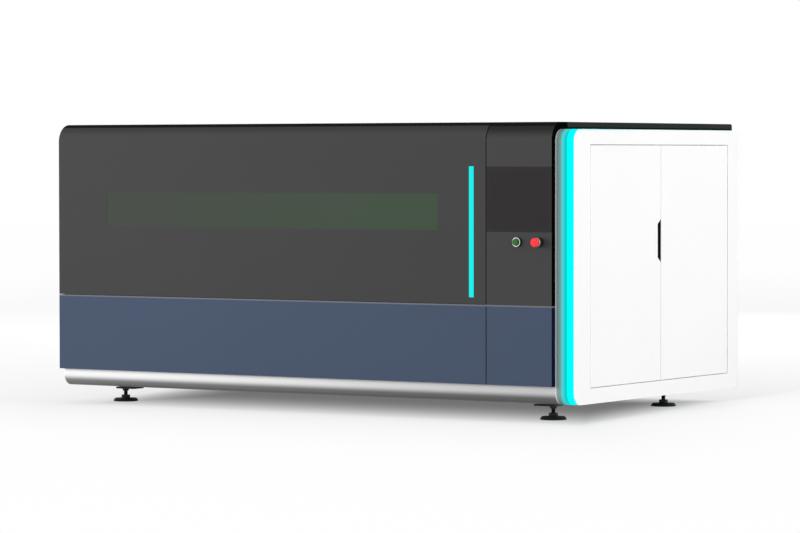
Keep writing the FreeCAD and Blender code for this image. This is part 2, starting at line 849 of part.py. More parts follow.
def door_hinges():
    """Fixed halves of the concealed hinges, on the door frame's inner edge."""
    halves = []
    x1 = module_end - door_depth - door_hinge_gap
    for y0, y1 in ((door_left_edge - door_gap, door_left_edge - door_gap + door_hinge_width),
                   (door_right_edge + door_gap - door_hinge_width, door_right_edge + door_gap)):
        for z in hinge_heights():
            halves.append(box(x1 - door_hinge_depth, x1, y0, y1, z, z + door_hinge_height))
    return group(halves)


def folded_door(y0, y1, hinge_edge, way):
    """Folded sheet door with a rounded hinge edge and the moving halves of its hinges.

    way is +1 where the door reaches to the rear of its hinge edge, -1 where it reaches forward.
    """
    x1 = module_end
    x0 = x1 - door_depth
    pan = box(x0, x1, y0, y1, door_low, door_high)
    pan = pan.cut(box(x0 - 1, x1 - skin, y0 + skin, y1 - skin, door_low + skin, door_high - skin))
    edge = [e for e in pan.Edges
            if abs(e.CenterOfMass.x - x1) < 1e-6 and abs(e.CenterOfMass.y - hinge_edge) < 1e-6]
    pan = pan.makeFillet(door_edge_radius, edge)
    near = hinge_edge + way * skin
    far = near + way * door_hinge_width
    for z in hinge_heights():
        pan = pan.fuse(box(x0, x1 - skin, min(near, far), max(near, far), z, z + door_hinge_height))
    return pan


def stiffener(y0, y1):
    """Flat hat section welded across the inside of a door, open towards the door's skin."""
    z0 = (door_low + door_high - stiffener_height) / 2
    z1 = z0 + stiffener_height
    x0 = module_end - door_depth
    x1 = module_end - skin
    hat = box(x0, x1, y0, y1, z0, z1)
    return hat.cut(box(x0 + skin, x1 + 1, y0 - 1, y1 + 1, z0 + skin, z1 - skin))


def handle_outline(grow, x0, x1):
    """The finger slot: straight along the door's free edge, slanted at both ends."""
    free = door_middle - door_gap / 2
    deep = door_middle - handle_width
    points = [V(x0, free, handle_bottom - grow), V(x0, free, handle_top + grow),
              V(x0, deep - grow, handle_top - handle_slope + grow / 2),
              V(x0, deep - grow, handle_bottom + handle_slope - grow / 2)]
    return polygon(points).extrude(V(x1 - x0, 0, 0))


def cabinet_door_front():
    free = door_middle - door_gap / 2
    door = folded_door(door_left_edge, free, door_left_edge, 1)
    door = door.fuse(stiffener(door_left_edge + skin, door_middle - handle_width - 4 * skin))
    slot = handle_outline(skin, module_end - handle_pocket_depth - skin, module_end + 1)
    return door.cut(slot)


def handle_pocket():
    """Black cup behind the finger slot."""
    cup = handle_outline(skin, module_end - handle_pocket_depth - skin, module_end)
    free = door_middle - door_gap / 2
    hollow = handle_outline(0, module_end - handle_pocket_depth, module_end + 1)
    wall = box(module_end - door_depth, module_end + 2, free - skin, free + 1,
               handle_bottom - 2 * skin, handle_top + 2 * skin)
    return cup.cut(hollow.cut(wall))


def cabinet_door_rear():
    free = door_middle + door_gap / 2
    door = folded_door(free, door_right_edge, door_right_edge, -1)
    return door.fuse(stiffener(free + skin, door_right_edge - skin))


# ---- Hatch ----

def hatch_shell():
    """Outer skin of the hatch, cut out for the window and the light bar."""
    pan = brow_pan(0, hatch_right, hatch_bottom, hinge_gap_front)
    pan = pan.cut(box(window_left, window_right, -1, skin + 1, window_bottom, window_top))
    return pan.cut(box(light_bar_left, light_bar_left + light_bar_width, -1, skin + 1,
                       light_bar_bottom, light_bar_top))


def hatch_inner_panel():
    """Inner skin that closes the hatch, bent round the brow like the outer one."""
    panel = brow_section(skin, hatch_right - 2 * skin, hatch_bottom + skin,
                         hinge_gap_front - skin, shell_depth - skin, shell_depth)
    return panel.cut(box(window_left + window_lip, window_right - window_lip, 0, 2 * shell_depth,
                         window_bottom + window_lip, window_top - window_lip))


def window_frame():
    """Frame between the two skins, rebated for the pane."""
    ring = box(window_left - window_frame_width, window_right + window_frame_width,
               skin, shell_depth - skin, window_bottom - window_frame_width,
               window_top + window_frame_width)
    ring = ring.cut(box(window_left, window_right, 0, window_recess + window_pane,
                        window_bottom, window_top))
    return ring.cut(box(window_left + window_lip, window_right - window_lip, 0, 2 * shell_depth,
                        window_bottom + window_lip, window_top - window_lip))


def hatch_window():
    return box(window_left, window_right, window_recess, window_recess + window_pane,
               window_bottom, window_top)


def hatch_light_bar():
    """Diffuser bar in its slot, with a wider back behind the skin."""
    right = light_bar_left + light_bar_width
    front = box(light_bar_left, right, -light_bar_proud, skin, light_bar_bottom, light_bar_top)
    back = box(light_bar_left - light_bar_lip, right + light_bar_lip, skin, light_bar_depth,
               light_bar_bottom - light_bar_lip, light_bar_top + light_bar_lip)
    return front.fuse(back)


def hinge_places():
    return spread(hatch_hinge_margin, hatch_right - hatch_hinge_margin, hatch_hinge_count)


def knuckle(x0, x1, leaf_end):
    """Bevelled hinge knuckle with its leaf reaching to the panel edge at leaf_end."""
    r = hinge_radius
    c = hinge_bevel
    outline = [V(x0, hinge_y - r, hinge_z - r + c), V(x0, hinge_y - r + c, hinge_z - r),
               V(x0, hinge_y + r - c, hinge_z - r), V(x0, hinge_y + r, hinge_z - r + c),
               V(x0, hinge_y + r, hinge_z + r - c), V(x0, hinge_y + r - c, hinge_z + r),
               V(x0, hinge_y - r + c, hinge_z + r), V(x0, hinge_y - r, hinge_z + r - c)]
    barrel = polygon(outline).extrude(V(x1 - x0, 0, 0))
    leaf = box(x0, x1, min(hinge_y, leaf_end), max(hinge_y, leaf_end),
               hinge_z - hinge_leaf / 2, hinge_z + hinge_leaf / 2)
    return barrel.fuse(leaf)


def hatch_hinge_arms():
    """Moving knuckles, bored for the pins."""
    arms = []
    for x in hinge_places():
        bore = Part.makeCylinder(hinge_pin_radius + running_gap, hinge_knuckle + 2,
                                 V(x - 1, hinge_y, hinge_z), V(1, 0, 0))
        arms.append(knuckle(x, x + hinge_knuckle, hinge_gap_front).cut(bore))
    return group(arms)


def hatch_hinge_blocks():
    """Fixed knuckles on the roof's front edge, each with its pin."""
    blocks = []
    for x in hinge_places():
        fixed = knuckle(x - knuckle_gap - hinge_knuckle, x - knuckle_gap, hinge_gap_rear)
        pin = Part.makeCylinder(hinge_pin_radius, hinge_knuckle + knuckle_gap,
                                V(x - knuckle_gap, hinge_y, hinge_z), V(1, 0, 0))
        blocks.append(fixed.fuse(pin))
    return group(blocks)


def strut_direction():
    """Unit vector from a strut's fixed pivot to its moving one, hatch closed."""
    return V(0, strut_head_y - strut_foot_y, strut_head_z - strut_foot_z).normalize()


def hatch_strut_lugs():
    """Plates on the inner skin, beside the rods' eyes."""
    lugs = []
    inner = strut_eye_width / 2 + strut_eye_gap
    for x, way in ((strut_left_x, 1), (strut_right_x, -1)):
        near = x + way * inner
        far = near + way * strut_lug
        size = 2 * strut_eye_radius
        plate = box(min(near, far), max(near, far), shell_depth, strut_head_y + strut_eye_radius,
                    strut_head_z - size, strut_head_z + size)
        corner = [e for e in plate.Edges
                  if abs(e.CenterOfMass.y - strut_head_y - strut_eye_radius) < 1e-6
                  and abs(e.CenterOfMass.x - (near + far) / 2) < 1e-6]
        lugs.append(plate.makeChamfer(strut_lug_bevel, corner))
    return group(lugs)


def strut_tongue(pivot, way):
    """Flat end of a strut: a square-ended bar across the pivot, along the strut."""
    half = strut_eye_width / 2
    r = strut_eye_radius
    tongue = Part.makeBox(strut_eye_width, 2 * strut_eye_half, 2 * r,
                          V(-half, -strut_eye_half, -r))
    turn = FreeCAD.Rotation(V(0, 0, 1), way)
    tongue.Placement = FreeCAD.Placement(pivot, turn)
    return tongue


def strut_tube(x):
    """Cylinder of a gas strut, with the flat end that turns on the frame's stud."""
    way = strut_direction()
    foot = V(x, strut_foot_y, strut_foot_z)
    body = many_sided(strut_tube_radius, strut_tube_length - strut_eye_radius,
                      foot + way * strut_eye_radius, way)
    solid = strut_tongue(foot, way).fuse(body)
    solid = solid.cut(Part.makeCylinder(strut_rod_radius + running_gap, strut_tube_length,
                                        foot + way * 2 * strut_eye_radius, way))
    return solid.cut(Part.makeCylinder(strut_stud_radius + running_gap, strut_eye_width + 2,
                                       foot - V(strut_eye_width / 2 + 1, 0, 0), V(1, 0, 0)))


def strut_rod(x):
    """Piston rod, with the flat end at the hatch."""
    way = strut_direction()
    head = V(x, strut_head_y, strut_head_z)
    rod = Part.makeCylinder(strut_rod_radius, strut_rod_length - strut_eye_radius,
                            head - way * strut_rod_length, way)
    return rod.fuse(strut_tongue(head, way))


# ---- Cutting bed ----

def slat_places():
    return spread(bed_left, bed_right, slat_count)


def slats():
    """Toothed steel slats, standing across the bed's two long tubes."""
    rows = int((slat_rear - slat_front) / tooth_pitch)
    valley = slat_top - tooth_height
    points = [V(0, slat_front, slat_bottom), V(0, slat_front, valley)]
    for i in range(rows):
        points.append(V(0, slat_front + (i + 0.5) * tooth_pitch, slat_top))
        points.append(V(0, slat_front + (i + 1) * tooth_pitch, valley))
    if slat_rear - slat_front - rows * tooth_pitch > 1:
        points.append(V(0, slat_rear, valley))
    points.append(V(0, slat_rear, slat_bottom))
    slat = polygon(points).extrude(V(slat_thick, 0, 0))
    return group([slat.translated(V(x - slat_thick / 2, 0, 0)) for x in slat_places()])


def bed_frame():
    """Two long tubes under the slats' ends, two end tubes and the legs on the cross beams."""
    members = []
    top = slat_bottom
    low = top - bed_tube
    x0 = bed_left - bed_tube
    x1 = bed_right + bed_tube
    front = slat_front
    rear = slat_rear - bed_tube
    for y in (front, rear):
        members.append(tube_x(x0, x1, y, y + bed_tube, low, top, bed_wall))
        for x in spread(cross_first, cross_last, cross_count)[1:1 + bed_leg_count]:
            members.append(tube_z(x - bed_tube / 2, x + bed_tube / 2, y, y + bed_tube,
                                  cross_top, low, bed_wall))
    for x in (x0, x1 - bed_tube):
        members.append(tube_y(x, x + bed_tube, front + bed_tube, rear, low, top, bed_wall))
    return group(members)


def scrap_tray():
    """Open tray on the cross beams, below the slats."""
    y0 = slat_front + bed_tube + tray_gap
    y1 = slat_rear - bed_tube - tray_gap
    z1 = cross_top + tray_height
    tray = box(bed_left, bed_right, y0, y1, cross_top, z1)
    return tray.cut(box(bed_left + tray_wall, bed_right - tray_wall, y0 + tray_wall, y1 - tray_wall,
                        cross_top + tray_wall, z1 + 1))


# ---- Gantry ----

def waisted_rail(x0, x1, y, z):
    """Guide rail along X whose sides are drawn in, as on a profile rail."""
    half = rail_width / 2
    waist = half - rail_waist
    low = z + rail_flank
    middle = z + rail_height / 2
    high = z + rail_height - rail_flank
    top = z + rail_height
    points = [V(x0, y - half, z), V(x0, y + half, z), V(x0, y + half, low),
              V(x0, y + waist, middle), V(x0, y + half, high), V(x0, y + half, top),
              V(x0, y - half, top), V(x0, y - half, high), V(x0, y - waist, middle),
              V(x0, y - half, low)]
    return polygon(points).extrude(V(x1 - x0, 0, 0))


def x_rails():
    x0 = post_left + post + rail_end_gap
    x1 = chamber_right - post - rail_end_gap
    return group([waisted_rail(x0, x1, rail_y, side_beam_top),
                  waisted_rail(x0, x1, rail_rear_y, side_beam_top)])


def x_racks():
    """Square racks beside the bearing blocks, towards the bed."""
    x0 = post_left + post + rail_end_gap
    x1 = chamber_right - post - rail_end_gap
    y = rail_y + rail_width / 2 + slide_gap + block_side + rack_gap
    bar = box(x0, x1, y, y + rack_size, side_beam_top, side_beam_top + rack_size)
    return group([bar, mirror_depth(bar)])


def bearing_block(x, y):
    """Carriage block that rides over a rail."""
    half = rail_width / 2 + slide_gap
    outer = half + block_side
    z0 = side_beam_top + block_lift
    z1 = rail_top + slide_gap + block_top
    block = box(x, x + block_length, y - outer, y + outer, z0, z1)
    return block.cut(box(x - 1, x + block_length + 1, y - half, y + half, z0 - 1,
                         rail_top + slide_gap))


def gantry_trucks():
    """Cast end plates of the gantry, each on two bearing blocks."""
    base = rail_top + slide_gap + block_top
    pieces = []
    x1 = truck_left + truck_length
    top = truck_left + truck_top_length
    for y in (rail_y, rail_rear_y):
        half = truck_thick / 2
        points = [V(truck_left, y - half, base), V(x1, y - half, base),
                  V(x1, y - half, base + truck_shoulder),
                  V(top, y - half, beam_bottom + truck_shoulder), V(top, y - half, beam_top),
                  V(truck_left, y - half, beam_top)]
        pieces.append(polygon(points).extrude(V(0, truck_thick, 0)))
        pieces.append(bearing_block(truck_left, y))
        pieces.append(bearing_block(x1 - block_length, y))
    return group(pieces)


def gantry_beam():
    """Chamfered box beam between the end plates."""
    y0 = rail_y + truck_thick / 2
    y1 = rail_rear_y - truck_thick / 2
    c = beam_chamfer
    x0 = beam_left
    x1 = beam_face
    points = [V(x0 + c, y0, beam_bottom), V(x1 - c, y0, beam_bottom), V(x1, y0, beam_bottom + c),
              V(x1, y0, beam_top - c), V(x1 - c, y0, beam_top), V(x0 + c, y0, beam_top),
              V(x0, y0, beam_top - c), V(x0, y0, beam_bottom + c)]
    beam = polygon(points).extrude(V(0, y1 - y0, 0))
    return beam.cut(box(x0 + beam_wall, x1 - beam_wall, y0 - 1, y1 + 1,
                        beam_bottom + beam_wall, beam_top - beam_wall))


def servo(x, y, z):
    """Servo motor on a gearbox, standing upright over a corner."""
    half = (motor_size - gearbox_size) / 2
    box_part = box(x + half, x + half + gearbox_size, y + half, y + half + gearbox_size,
                   z, z + gearbox_length)
    body = box(x, x + motor_size, y, y + motor_size, z + gearbox_length,
               z + gearbox_length + motor_length)
    uprights = [e for e in body.Edges if abs(e.tangentAt(e.FirstParameter).z) > 0.99]
    return box_part.fuse(body.makeChamfer(motor_bevel, uprights))


def gantry_motors():
    """One motor over each end plate."""
    y = rail_y - motor_size / 2
    motor = servo(truck_left, y, beam_top)
    return group([motor, mirror_depth(motor)])


def y_rails():
    """Two rails and a rack along the beam's face."""
    y0 = rail_y + truck_thick / 2 + guide_end
    y1 = rail_rear_y - truck_thick / 2 - guide_end
    x1 = beam_face + y_rail
    low = beam_bottom + y_rail_inset
    high = beam_top - y_rail_inset - y_rail
    middle = (beam_bottom + beam_top - y_rail) / 2
    return group([box(beam_face, x1, y0, y1, low, low + y_rail),
                  box(beam_face, x1, y0, y1, high, high + y_rail),
                  box(beam_face, x1 - y_rack_set_back, y0, y1, middle, middle + y_rail)])


def carriage():
    """Plate across the beam, with its bearing blocks and the bracket for the Z motor."""
    y0 = carriage_y - carriage_width / 2
    y1 = carriage_y + carriage_width / 2
    plate = box(carriage_back, carriage_face, y0, y1, beam_bottom - carriage_drop, carriage_top)
    low = beam_bottom + y_rail_inset
    high = beam_top - y_rail_inset - y_rail
    for z in (low, high):
        block = box(beam_face + y_block_gap, carriage_back, y0, y1, z - block_side,
                    z + y_rail + block_side)
        groove = box(beam_face, beam_face + y_rail + slide_gap, y0 - 1, y1 + 1,
                     z - slide_gap, z + y_rail + slide_gap)
        plate = plate.fuse(block.cut(groove))
    y = carriage_y + carriage_width / 4
    half = motor_size / 2 + shelf_rim
    shelf = box(carriage_face - shelf_reach, carriage_face, y - half, y + half, carriage_top,
                carriage_top + shelf_thick)
    return plate.fuse(shelf)


def z_guide():
    """Upright guide on the carriage's face."""
    y = carriage_y + carriage_width / 4
    z1 = carriage_top
    return box(carriage_face, carriage_face + z_guide_depth, y - z_guide_width / 2,
               y + z_guide_width / 2, z1 - z_guide_length, z1)


def carriage_motors():
    """Motor that drives the carriage along the beam, and the one that lifts the head."""
    across = servo(carriage_face, carriage_y - carriage_width / 2 + motor_inset,
                   beam_bottom + motor_inset)
    y = carriage_y + carriage_width / 4 - motor_size / 2
    lift = servo(carriage_face - shelf_reach + shelf_rim, y, carriage_top + shelf_thick)
    return group([across, lift])


def z_slide():
    """Slide that runs on the upright guide and carries the head."""
    y = carriage_y + carriage_width / 4
    x1 = carriage_face + z_slide_depth
    z1 = carriage_top - z_slide_end
    block = box(carriage_face + z_slide_gap, x1, y - z_slide_width / 2, y + z_slide_width / 2,
                z1 - z_slide_length, z1)
    half = z_guide_width / 2 + slide_gap
    return block.cut(box(carriage_face, carriage_face + z_guide_depth + slide_gap, y - half,
                         y + half, z1 - z_slide_length - 1, z1 + 1))


def head_axis():
    return V(head_x, carriage_y + carriage_width / 4, nozzle_tip)


def cutting_head():
    """Bevelled head body with the round sensor below and the fibre connector above."""
    axis = head_axis()
    low = nozzle_tip + nozzle_height
    waist = low + sensor_height
    top = waist + head_height
    half = lens_radius
    body = box(axis.x - half, axis.x + half, axis.y - half, axis.y + half, waist, top)
    uprights = [e for e in body.Edges
                if abs(e.tangentAt(e.FirstParameter).z) > 0.99 and e.CenterOfMass.x > axis.x]
    body = body.makeChamfer(head_chamfer, uprights)
    sensor = many_sided(sensor_radius, sensor_height, V(axis.x, axis.y, low), V(0, 0, 1))
    connector = box(axis.x - connector_half, axis.x + connector_half, axis.y - connector_half,
                    axis.y + connector_half, top, top + connector_height)
    return body.fuse(sensor).fuse(connector)


def nozzle():
    """Conical copper nozzle, its bevel reaching down to the small round tip."""
    block = many_sided(nozzle_radius, nozzle_height, head_axis(), V(0, 0, 1))
    tip = [e for e in block.Edges if abs(e.CenterOfMass.z - nozzle_tip) < 1e-6]
    return block.makeChamfer(nozzle_radius - nozzle_tip_radius, tip)


# ---- Cabinet ----

def cabinet_floor():
    y0 = side_beam_front + side_beam_width
    return box(chamber_right + skin, shell_length, y0, side_beam_rear, cross_top, cross_top + skin)


def laser_source():
    """Laser source: closed cabinet with a bevelled top and vent slots towards the doors."""
    x0 = chamber_right + skin + source_gap
    x1 = x0 + source_width
    y1 = source_rear
    y0 = y1 - source_length
    z0 = cross_top + skin
    z1 = z0 + source_height
    block = box(x0, x1, y0, y1, z0, z1)
    top = [e for e in block.Edges
           if abs(e.CenterOfMass.x - x1) < 1e-6 and abs(e.CenterOfMass.z - z1) < 1e-6]
    block = block.makeChamfer(source_chamfer, top)
    wall = vent_depth + skin
    block = block.cut(box(x0 + wall, x1 - wall, y0 + wall, y1 - wall, z0 + skin,
                          z1 - wall - source_chamfer))
    middle = (y0 + y1) / 2
    for i in range(vent_count):
        z = z0 + vent_rise + i * vent_pitch
        block = block.cut(box(x1 - vent_depth, x1 + 1, middle - vent_length / 2,
                              middle + vent_length / 2, z, z + vent_height))
    return block


def electrical_plate():
    """Mounting plate for the drives, standing off the partition on four spacers."""
    x0 = chamber_right + skin
    x1 = x0 + panel_stand_off
    plate = box(x1, x1 + skin, panel_front, panel_rear, panel_bottom, panel_top)
    last = spacer_inset + spacer_size
    for y in (panel_front + spacer_inset, panel_rear - last):
        for z in (panel_bottom + spacer_inset, panel_top - last):
            plate = plate.fuse(box(x0, x1, y, y + spacer_size, z, z + spacer_size))
    return plate


def servo_drives():
    """Row of drives with finned fronts over a wider supply unit."""
    x0 = chamber_right + skin + panel_stand_off + skin
    face = x0 + drive_depth
    first = panel_front + drive_inset
    top = panel_top - drive_drop
    bottom = top - drive_height
    units = []
    for i in range(drive_count):
        y = first + i * drive_pitch
        unit = box(x0, face, y, y + drive_width, bottom, top)
        for k in range(fin_count):
            z = top - drive_height / 2 - k * fin_pitch
            unit = unit.cut(box(face - fin_depth, face + 1, y + fin_margin,
                                y + drive_width - fin_margin, z, z + fin_height))
        units.append(unit)
    units.append(box(x0, x0 + supply_depth, first, panel_rear - drive_inset,
                     panel_bottom + drive_drop, bottom - supply_gap))
    return group(units)


pieces = {
    "levelling_feet": levelling_feet,
    "foot_plates": foot_plates,
    "base_frame": base_frame,
    "upper_frame": upper_frame,
    "strut_studs": strut_studs,
    "plinth_front": plinth,
    "belly_pan": belly_pan,
    "left_end_wall": left_end_wall,
    "partition_wall": partition_wall,
    "rear_panels": rear_panels,
    "roof_panel": roof_panel,
    "lower_skirt_left": lower_skirt_left,
    "lower_skirt_right": lower_skirt_right,
    "sill_strip": sill_strip_bar,
    "console_panel": console_panel,
    "touch_screen": touch_screen,
    "console_fittings": lambda: group([screen_housing(), start_bezel(), stop_base()]),
    "start_button_cap": start_button_cap,
    "stop_plunger": stop_plunger,
    "stop_head": stop_head,
    "side_rim": side_rim,
    "light_ring": light_ring,
    "side_frame": side_frame,
    "door_hinges": door_hinges,
    "cabinet_door_front": cabinet_door_front,
    "cabinet_door_rear": cabinet_door_rear,
    "handle_pocket": handle_pocket,
    "hatch_shell": hatch_shell,
    "hatch_inner_panel": hatch_inner_panel,
    "window_frame": window_frame,
    "hatch_window": hatch_window,
    "hatch_light_bar": hatch_light_bar,
    "hatch_hinge_arms": hatch_hinge_arms,
    "hatch_hinge_blocks": hatch_hinge_blocks,
    "hatch_strut_lugs": hatch_strut_lugs,
    "strut_tube_left": lambda: strut_tube(strut_left_x),
    "strut_rod_left": lambda: strut_rod(strut_left_x),
    "strut_tube_right": lambda: strut_tube(strut_right_x),
    "strut_rod_right": lambda: strut_rod(strut_right_x),
    "slats": slats,
    "bed_frame": bed_frame,
    "scrap_tray": scrap_tray,
    "x_guides": lambda: group([x_rails(), x_racks()]),
    "gantry_trucks": gantry_trucks,
    "gantry_beam": lambda: group([gantry_beam(), y_rails()]),
    "gantry_motors": gantry_motors,
    "carriage": lambda: group([carriage(), z_guide(), carriage_motors()]),
    "z_slide": z_slide,
    "cutting_head": lambda: group([cutting_head(), nozzle()]),
    "cabinet_floor": cabinet_floor,
    "laser_source": laser_source,
    "electrical_plate": electrical_plate,
    "servo_drives": servo_drives,
}

os.makedirs("parts", exist_ok=True)
for name, make in pieces.items():
    shape = make().translated(-origin)
    shape.exportStep("parts/" + name + ".step")
    box_size = shape.BoundBox
    print(name, len(shape.Solids), "solids", round(shape.Volume / 1e6, 2), "dm3",
          round(box_size.XLength), round(box_size.YLength), round(box_size.ZLength))
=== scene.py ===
# %% [markdown]
# # An enclosed fiber laser cutting machine
# A 4.1 m long sheet-metal machine: a dark front hatch that lifts, blue skirts below it, a silver plinth,
# a control column with a touch screen and two buttons, and a white cabinet at the right end behind a
# glowing cyan rim. The construction comes packed as a frame of exact panels and mechanisms. This lesson
# gives every surface its finish, and turns the small round parts properly.

import math

import bmesh
import bpy
import numpy as np
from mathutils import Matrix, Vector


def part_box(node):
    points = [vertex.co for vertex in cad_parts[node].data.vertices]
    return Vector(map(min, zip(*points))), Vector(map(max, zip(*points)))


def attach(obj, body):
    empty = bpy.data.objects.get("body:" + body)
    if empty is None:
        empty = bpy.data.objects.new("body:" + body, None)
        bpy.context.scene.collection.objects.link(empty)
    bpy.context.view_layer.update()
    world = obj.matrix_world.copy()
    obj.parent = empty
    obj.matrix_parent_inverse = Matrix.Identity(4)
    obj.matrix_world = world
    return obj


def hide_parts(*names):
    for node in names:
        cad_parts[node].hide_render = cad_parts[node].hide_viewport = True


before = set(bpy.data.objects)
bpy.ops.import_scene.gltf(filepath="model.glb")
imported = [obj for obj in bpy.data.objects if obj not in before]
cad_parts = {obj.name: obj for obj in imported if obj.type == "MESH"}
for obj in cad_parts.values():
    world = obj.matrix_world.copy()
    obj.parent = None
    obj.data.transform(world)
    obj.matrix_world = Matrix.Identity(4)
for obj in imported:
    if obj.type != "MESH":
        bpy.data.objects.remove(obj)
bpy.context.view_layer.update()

# %% [markdown]
# ## One set of coordinates
# The frame is in metres with its origin under the middle of the machine, but a maker measures from the
# left end of the shell, its front face and the floor, in millimetres. So all places below are written that
# way, and one function turns them into the frame's metres. The roof's box says where the left end is, and
# the hatch's box where the front face is.

# %% Measuring from the shell's corner
corner = np.array([*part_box("roof_panel")[0].xy[:1], *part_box("hatch_shell")[0].xy[1:], 0.0])


def metres(points):
    """Points in mm from the shell's left end, front face and the floor, as metres in the frame."""
    return np.asarray(points, float) / 1000 + corner


def node_box(node):
    """Lowest and highest corner of a frame piece, in mm from the same three faces."""
    low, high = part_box(node)
    return (np.array(low) - corner) * 1000, (np.array(high) - corner) * 1000


shell_end = node_box("roof_panel")[1][0]
shell_top = node_box("roof_panel")[1][2]
print("shell:", round(float(shell_end)), "mm long and", round(float(shell_top)), "mm high")

# %% [markdown]
# ## Writing shaders as sums
# A paint is a colour, a gloss and a fine relief, and each of them may vary over the panel. In Blender
# that is a net of nodes. Drawing the net by hand is slow, so a wire, which is the output of a node, can be
# added, multiplied and compared like a number, and each operation adds the Math node that does it.

# %% Wires and finishes
class Wire:
    """The output of a node. Arithmetic on it adds Math nodes to the same finish."""

    def __init__(self, finish, socket):
        self.finish = finish
        self.socket = socket

    def math(self, operation, *others, clamp=False):
        """Result of a Math node on this wire and the others; clamp keeps it between 0 and 1."""
        values = dict(enumerate((self, *others)))
        return self.finish.node("ShaderNodeMath", {"operation": operation, "use_clamp": clamp}, values)

    def __add__(self, other):
        return self.math("ADD", other)

    def __mul__(self, other):
        return self.math("MULTIPLY", other)

    def __sub__(self, other):
        return self.math("SUBTRACT", other)

    def __rsub__(self, other):
        return self.finish.node("ShaderNodeMath", {"operation": "SUBTRACT"}, {0: other, 1: self})

    def __gt__(self, other):
        return self.math("GREATER_THAN", other)

    def __lt__(self, other):
        return self.math("LESS_THAN", other)

    __radd__ = __add__


class Finish:
    """A material in the making."""

    def __init__(self, name):
        self.material = bpy.data.materials.new(name)
        self.material.use_nodes = True
        self.tree = self.material.node_tree
        self.tree.nodes.clear()

    def node(self, kind, settings=None, sockets=None, out=0):
        """Adds a node of any kind: first its settings, then numbers or wires into its sockets."""
        new = self.tree.nodes.new(kind)
        for key, value in (settings or {}).items():
            setattr(new, key, value)
        for key, value in (sockets or {}).items():
            if isinstance(value, Wire):
                self.tree.links.new(value.socket, new.inputs[key])
            else:
                new.inputs[key].default_value = value
        return Wire(self, new.outputs[out]) if new.outputs else None

    def place(self):
        """Where a point of the surface is, in metres of the frame; it stays on the piece as that moves."""
        return self.node("ShaderNodeTexCoord", out="Object")

    def axis(self, letter):
        """One coordinate of the place, in mm from the shell's corner."""
        index = "XYZ".index(letter)
        split = self.node("ShaderNodeSeparateXYZ", sockets={"Vector": self.place()}, out=index)
        return (split - float(corner[index])) * 1000

    def stretched(self, x, y, z):
        """The place with its three axes stretched, for brushed and rolled surfaces."""
        return self.node("ShaderNodeMapping", sockets={"Vector": self.place(), "Scale": (x, y, z)})

    def grain(self, scale, detail=2.0, vector=None, roughness=0.5):
        """Cloudy noise from 0 to 1; scale is clouds per metre."""
        return self.node("ShaderNodeTexNoise", sockets={
            "Vector": vector or self.place(), "Scale": scale, "Detail": detail, "Roughness": roughness})

    def ramp(self, value, low, high):
        """0 below low, 1 above high, and a smooth change between them."""
        return self.node("ShaderNodeMapRange", {"interpolation_type": "SMOOTHSTEP"}, {
            "Value": value, "From Min": low, "From Max": high})

    def blend(self, share, first, second):
        """First colour where share is 0, second where it is 1."""
        return self.node("ShaderNodeMix", {"data_type": "RGBA"}, {0: share, 6: first, 7: second}, out=2)

    def relief(self, height, depth_mm):
        """Fine relief of the surface, from a height of 0 to 1."""
        return self.node("ShaderNodeBump", sockets={
            "Height": height, "Distance": depth_mm / 1000, "Strength": 1.0})

    def surface(self, **sockets):
        """Principled shader; socket names are written with underscores."""
        named = {}
        for key, value in sockets.items():
            title = key.replace("_", " ").title()
            named[title.replace("Ior", "IOR")] = value
        return self.node("ShaderNodeBsdfPrincipled", sockets=named)

    def over(self, share, below, above):
        """The surface above where share is 1, the one below where it is 0."""
        return self.node("ShaderNodeMixShader", sockets={0: share, 1: below, 2: above})

    def end(self, shader):
        """Closes the finish with its shader."""
        self.node("ShaderNodeOutputMaterial", sockets={"Surface": shader})
        return self.material


def seen(red, green, blue):
    """A colour as it is read off a screen, 0 to 255, as the linear colour that shaders work in."""
    def linear(c):
        """One channel: c / 12.92 where it is very dark, otherwise ((c + 0.055) / 1.055) ** 2.4."""
        c /= 255
        return c / 12.92 if c <= 0.04045 else ((c + 0.055) / 1.055) ** 2.4
    return (linear(red), linear(green), linear(blue), 1.0)


def shade(colour, factor):
    """A darker or lighter version of a colour."""
    return tuple(min(1.0, c * factor) for c in colour[:3]) + (1.0,)


black = (0.0, 0.0, 0.0, 1.0)
white = (1.0, 1.0, 1.0, 1.0)
print("colours are given as on a screen, for example", [round(c, 3) for c in seen(74, 74, 74)[:3]])

# %% [markdown]
# ## Powder coat
# Every outer panel is powder coated: a satin film that flows out while it bakes, which leaves a fine skin
# like the peel of an orange. A noise with a grain of two millimetres gives that skin as relief, and a slow
# noise makes the gloss uneven by a few percent, as on any large panel.

# %% Powder-coated finishes
def powder_coat(name, colour, gloss=0.42, peel=0.06, specular=0.3, painted_light=None):
    """Satin film; the function passed as the last argument gives the share of the surface that is dull and
    carries painted light or shade instead, and the painted colour there.
    """
    f = Finish(name)
    tone = f.grain(1.3, detail=3.0)
    skin = f.grain(520.0, detail=1.0)
    uneven = f.grain(2.1, detail=4.0)
    relief = f.relief(skin, peel)
    base = f.blend(tone, shade(colour, 0.97), shade(colour, 1.03))
    film = f.surface(base_color=base, roughness=uneven * 0.08 + (gloss - 0.04),
                     specular_ior_level=specular, normal=relief)
    if not painted_light:
        return f.end(film)
    # painted light or shade: the share where it lies, and its painted colour
    share, dull = painted_light(f)
    edge = f.surface(base_color=dull, roughness=skin * 0.1 + 0.8, specular_ior_level=0.02, normal=relief)
    return f.end(f.over(share, film, edge))


def at_ends(f, *places):
    """1 close to these places along the machine, so on the folded end faces, and 0 elsewhere."""
    x = f.axis("X")
    reach = 0.6
    near = [(x - float(place)).math("ABSOLUTE") < reach for place in places]
    return sum(near[1:], near[0])


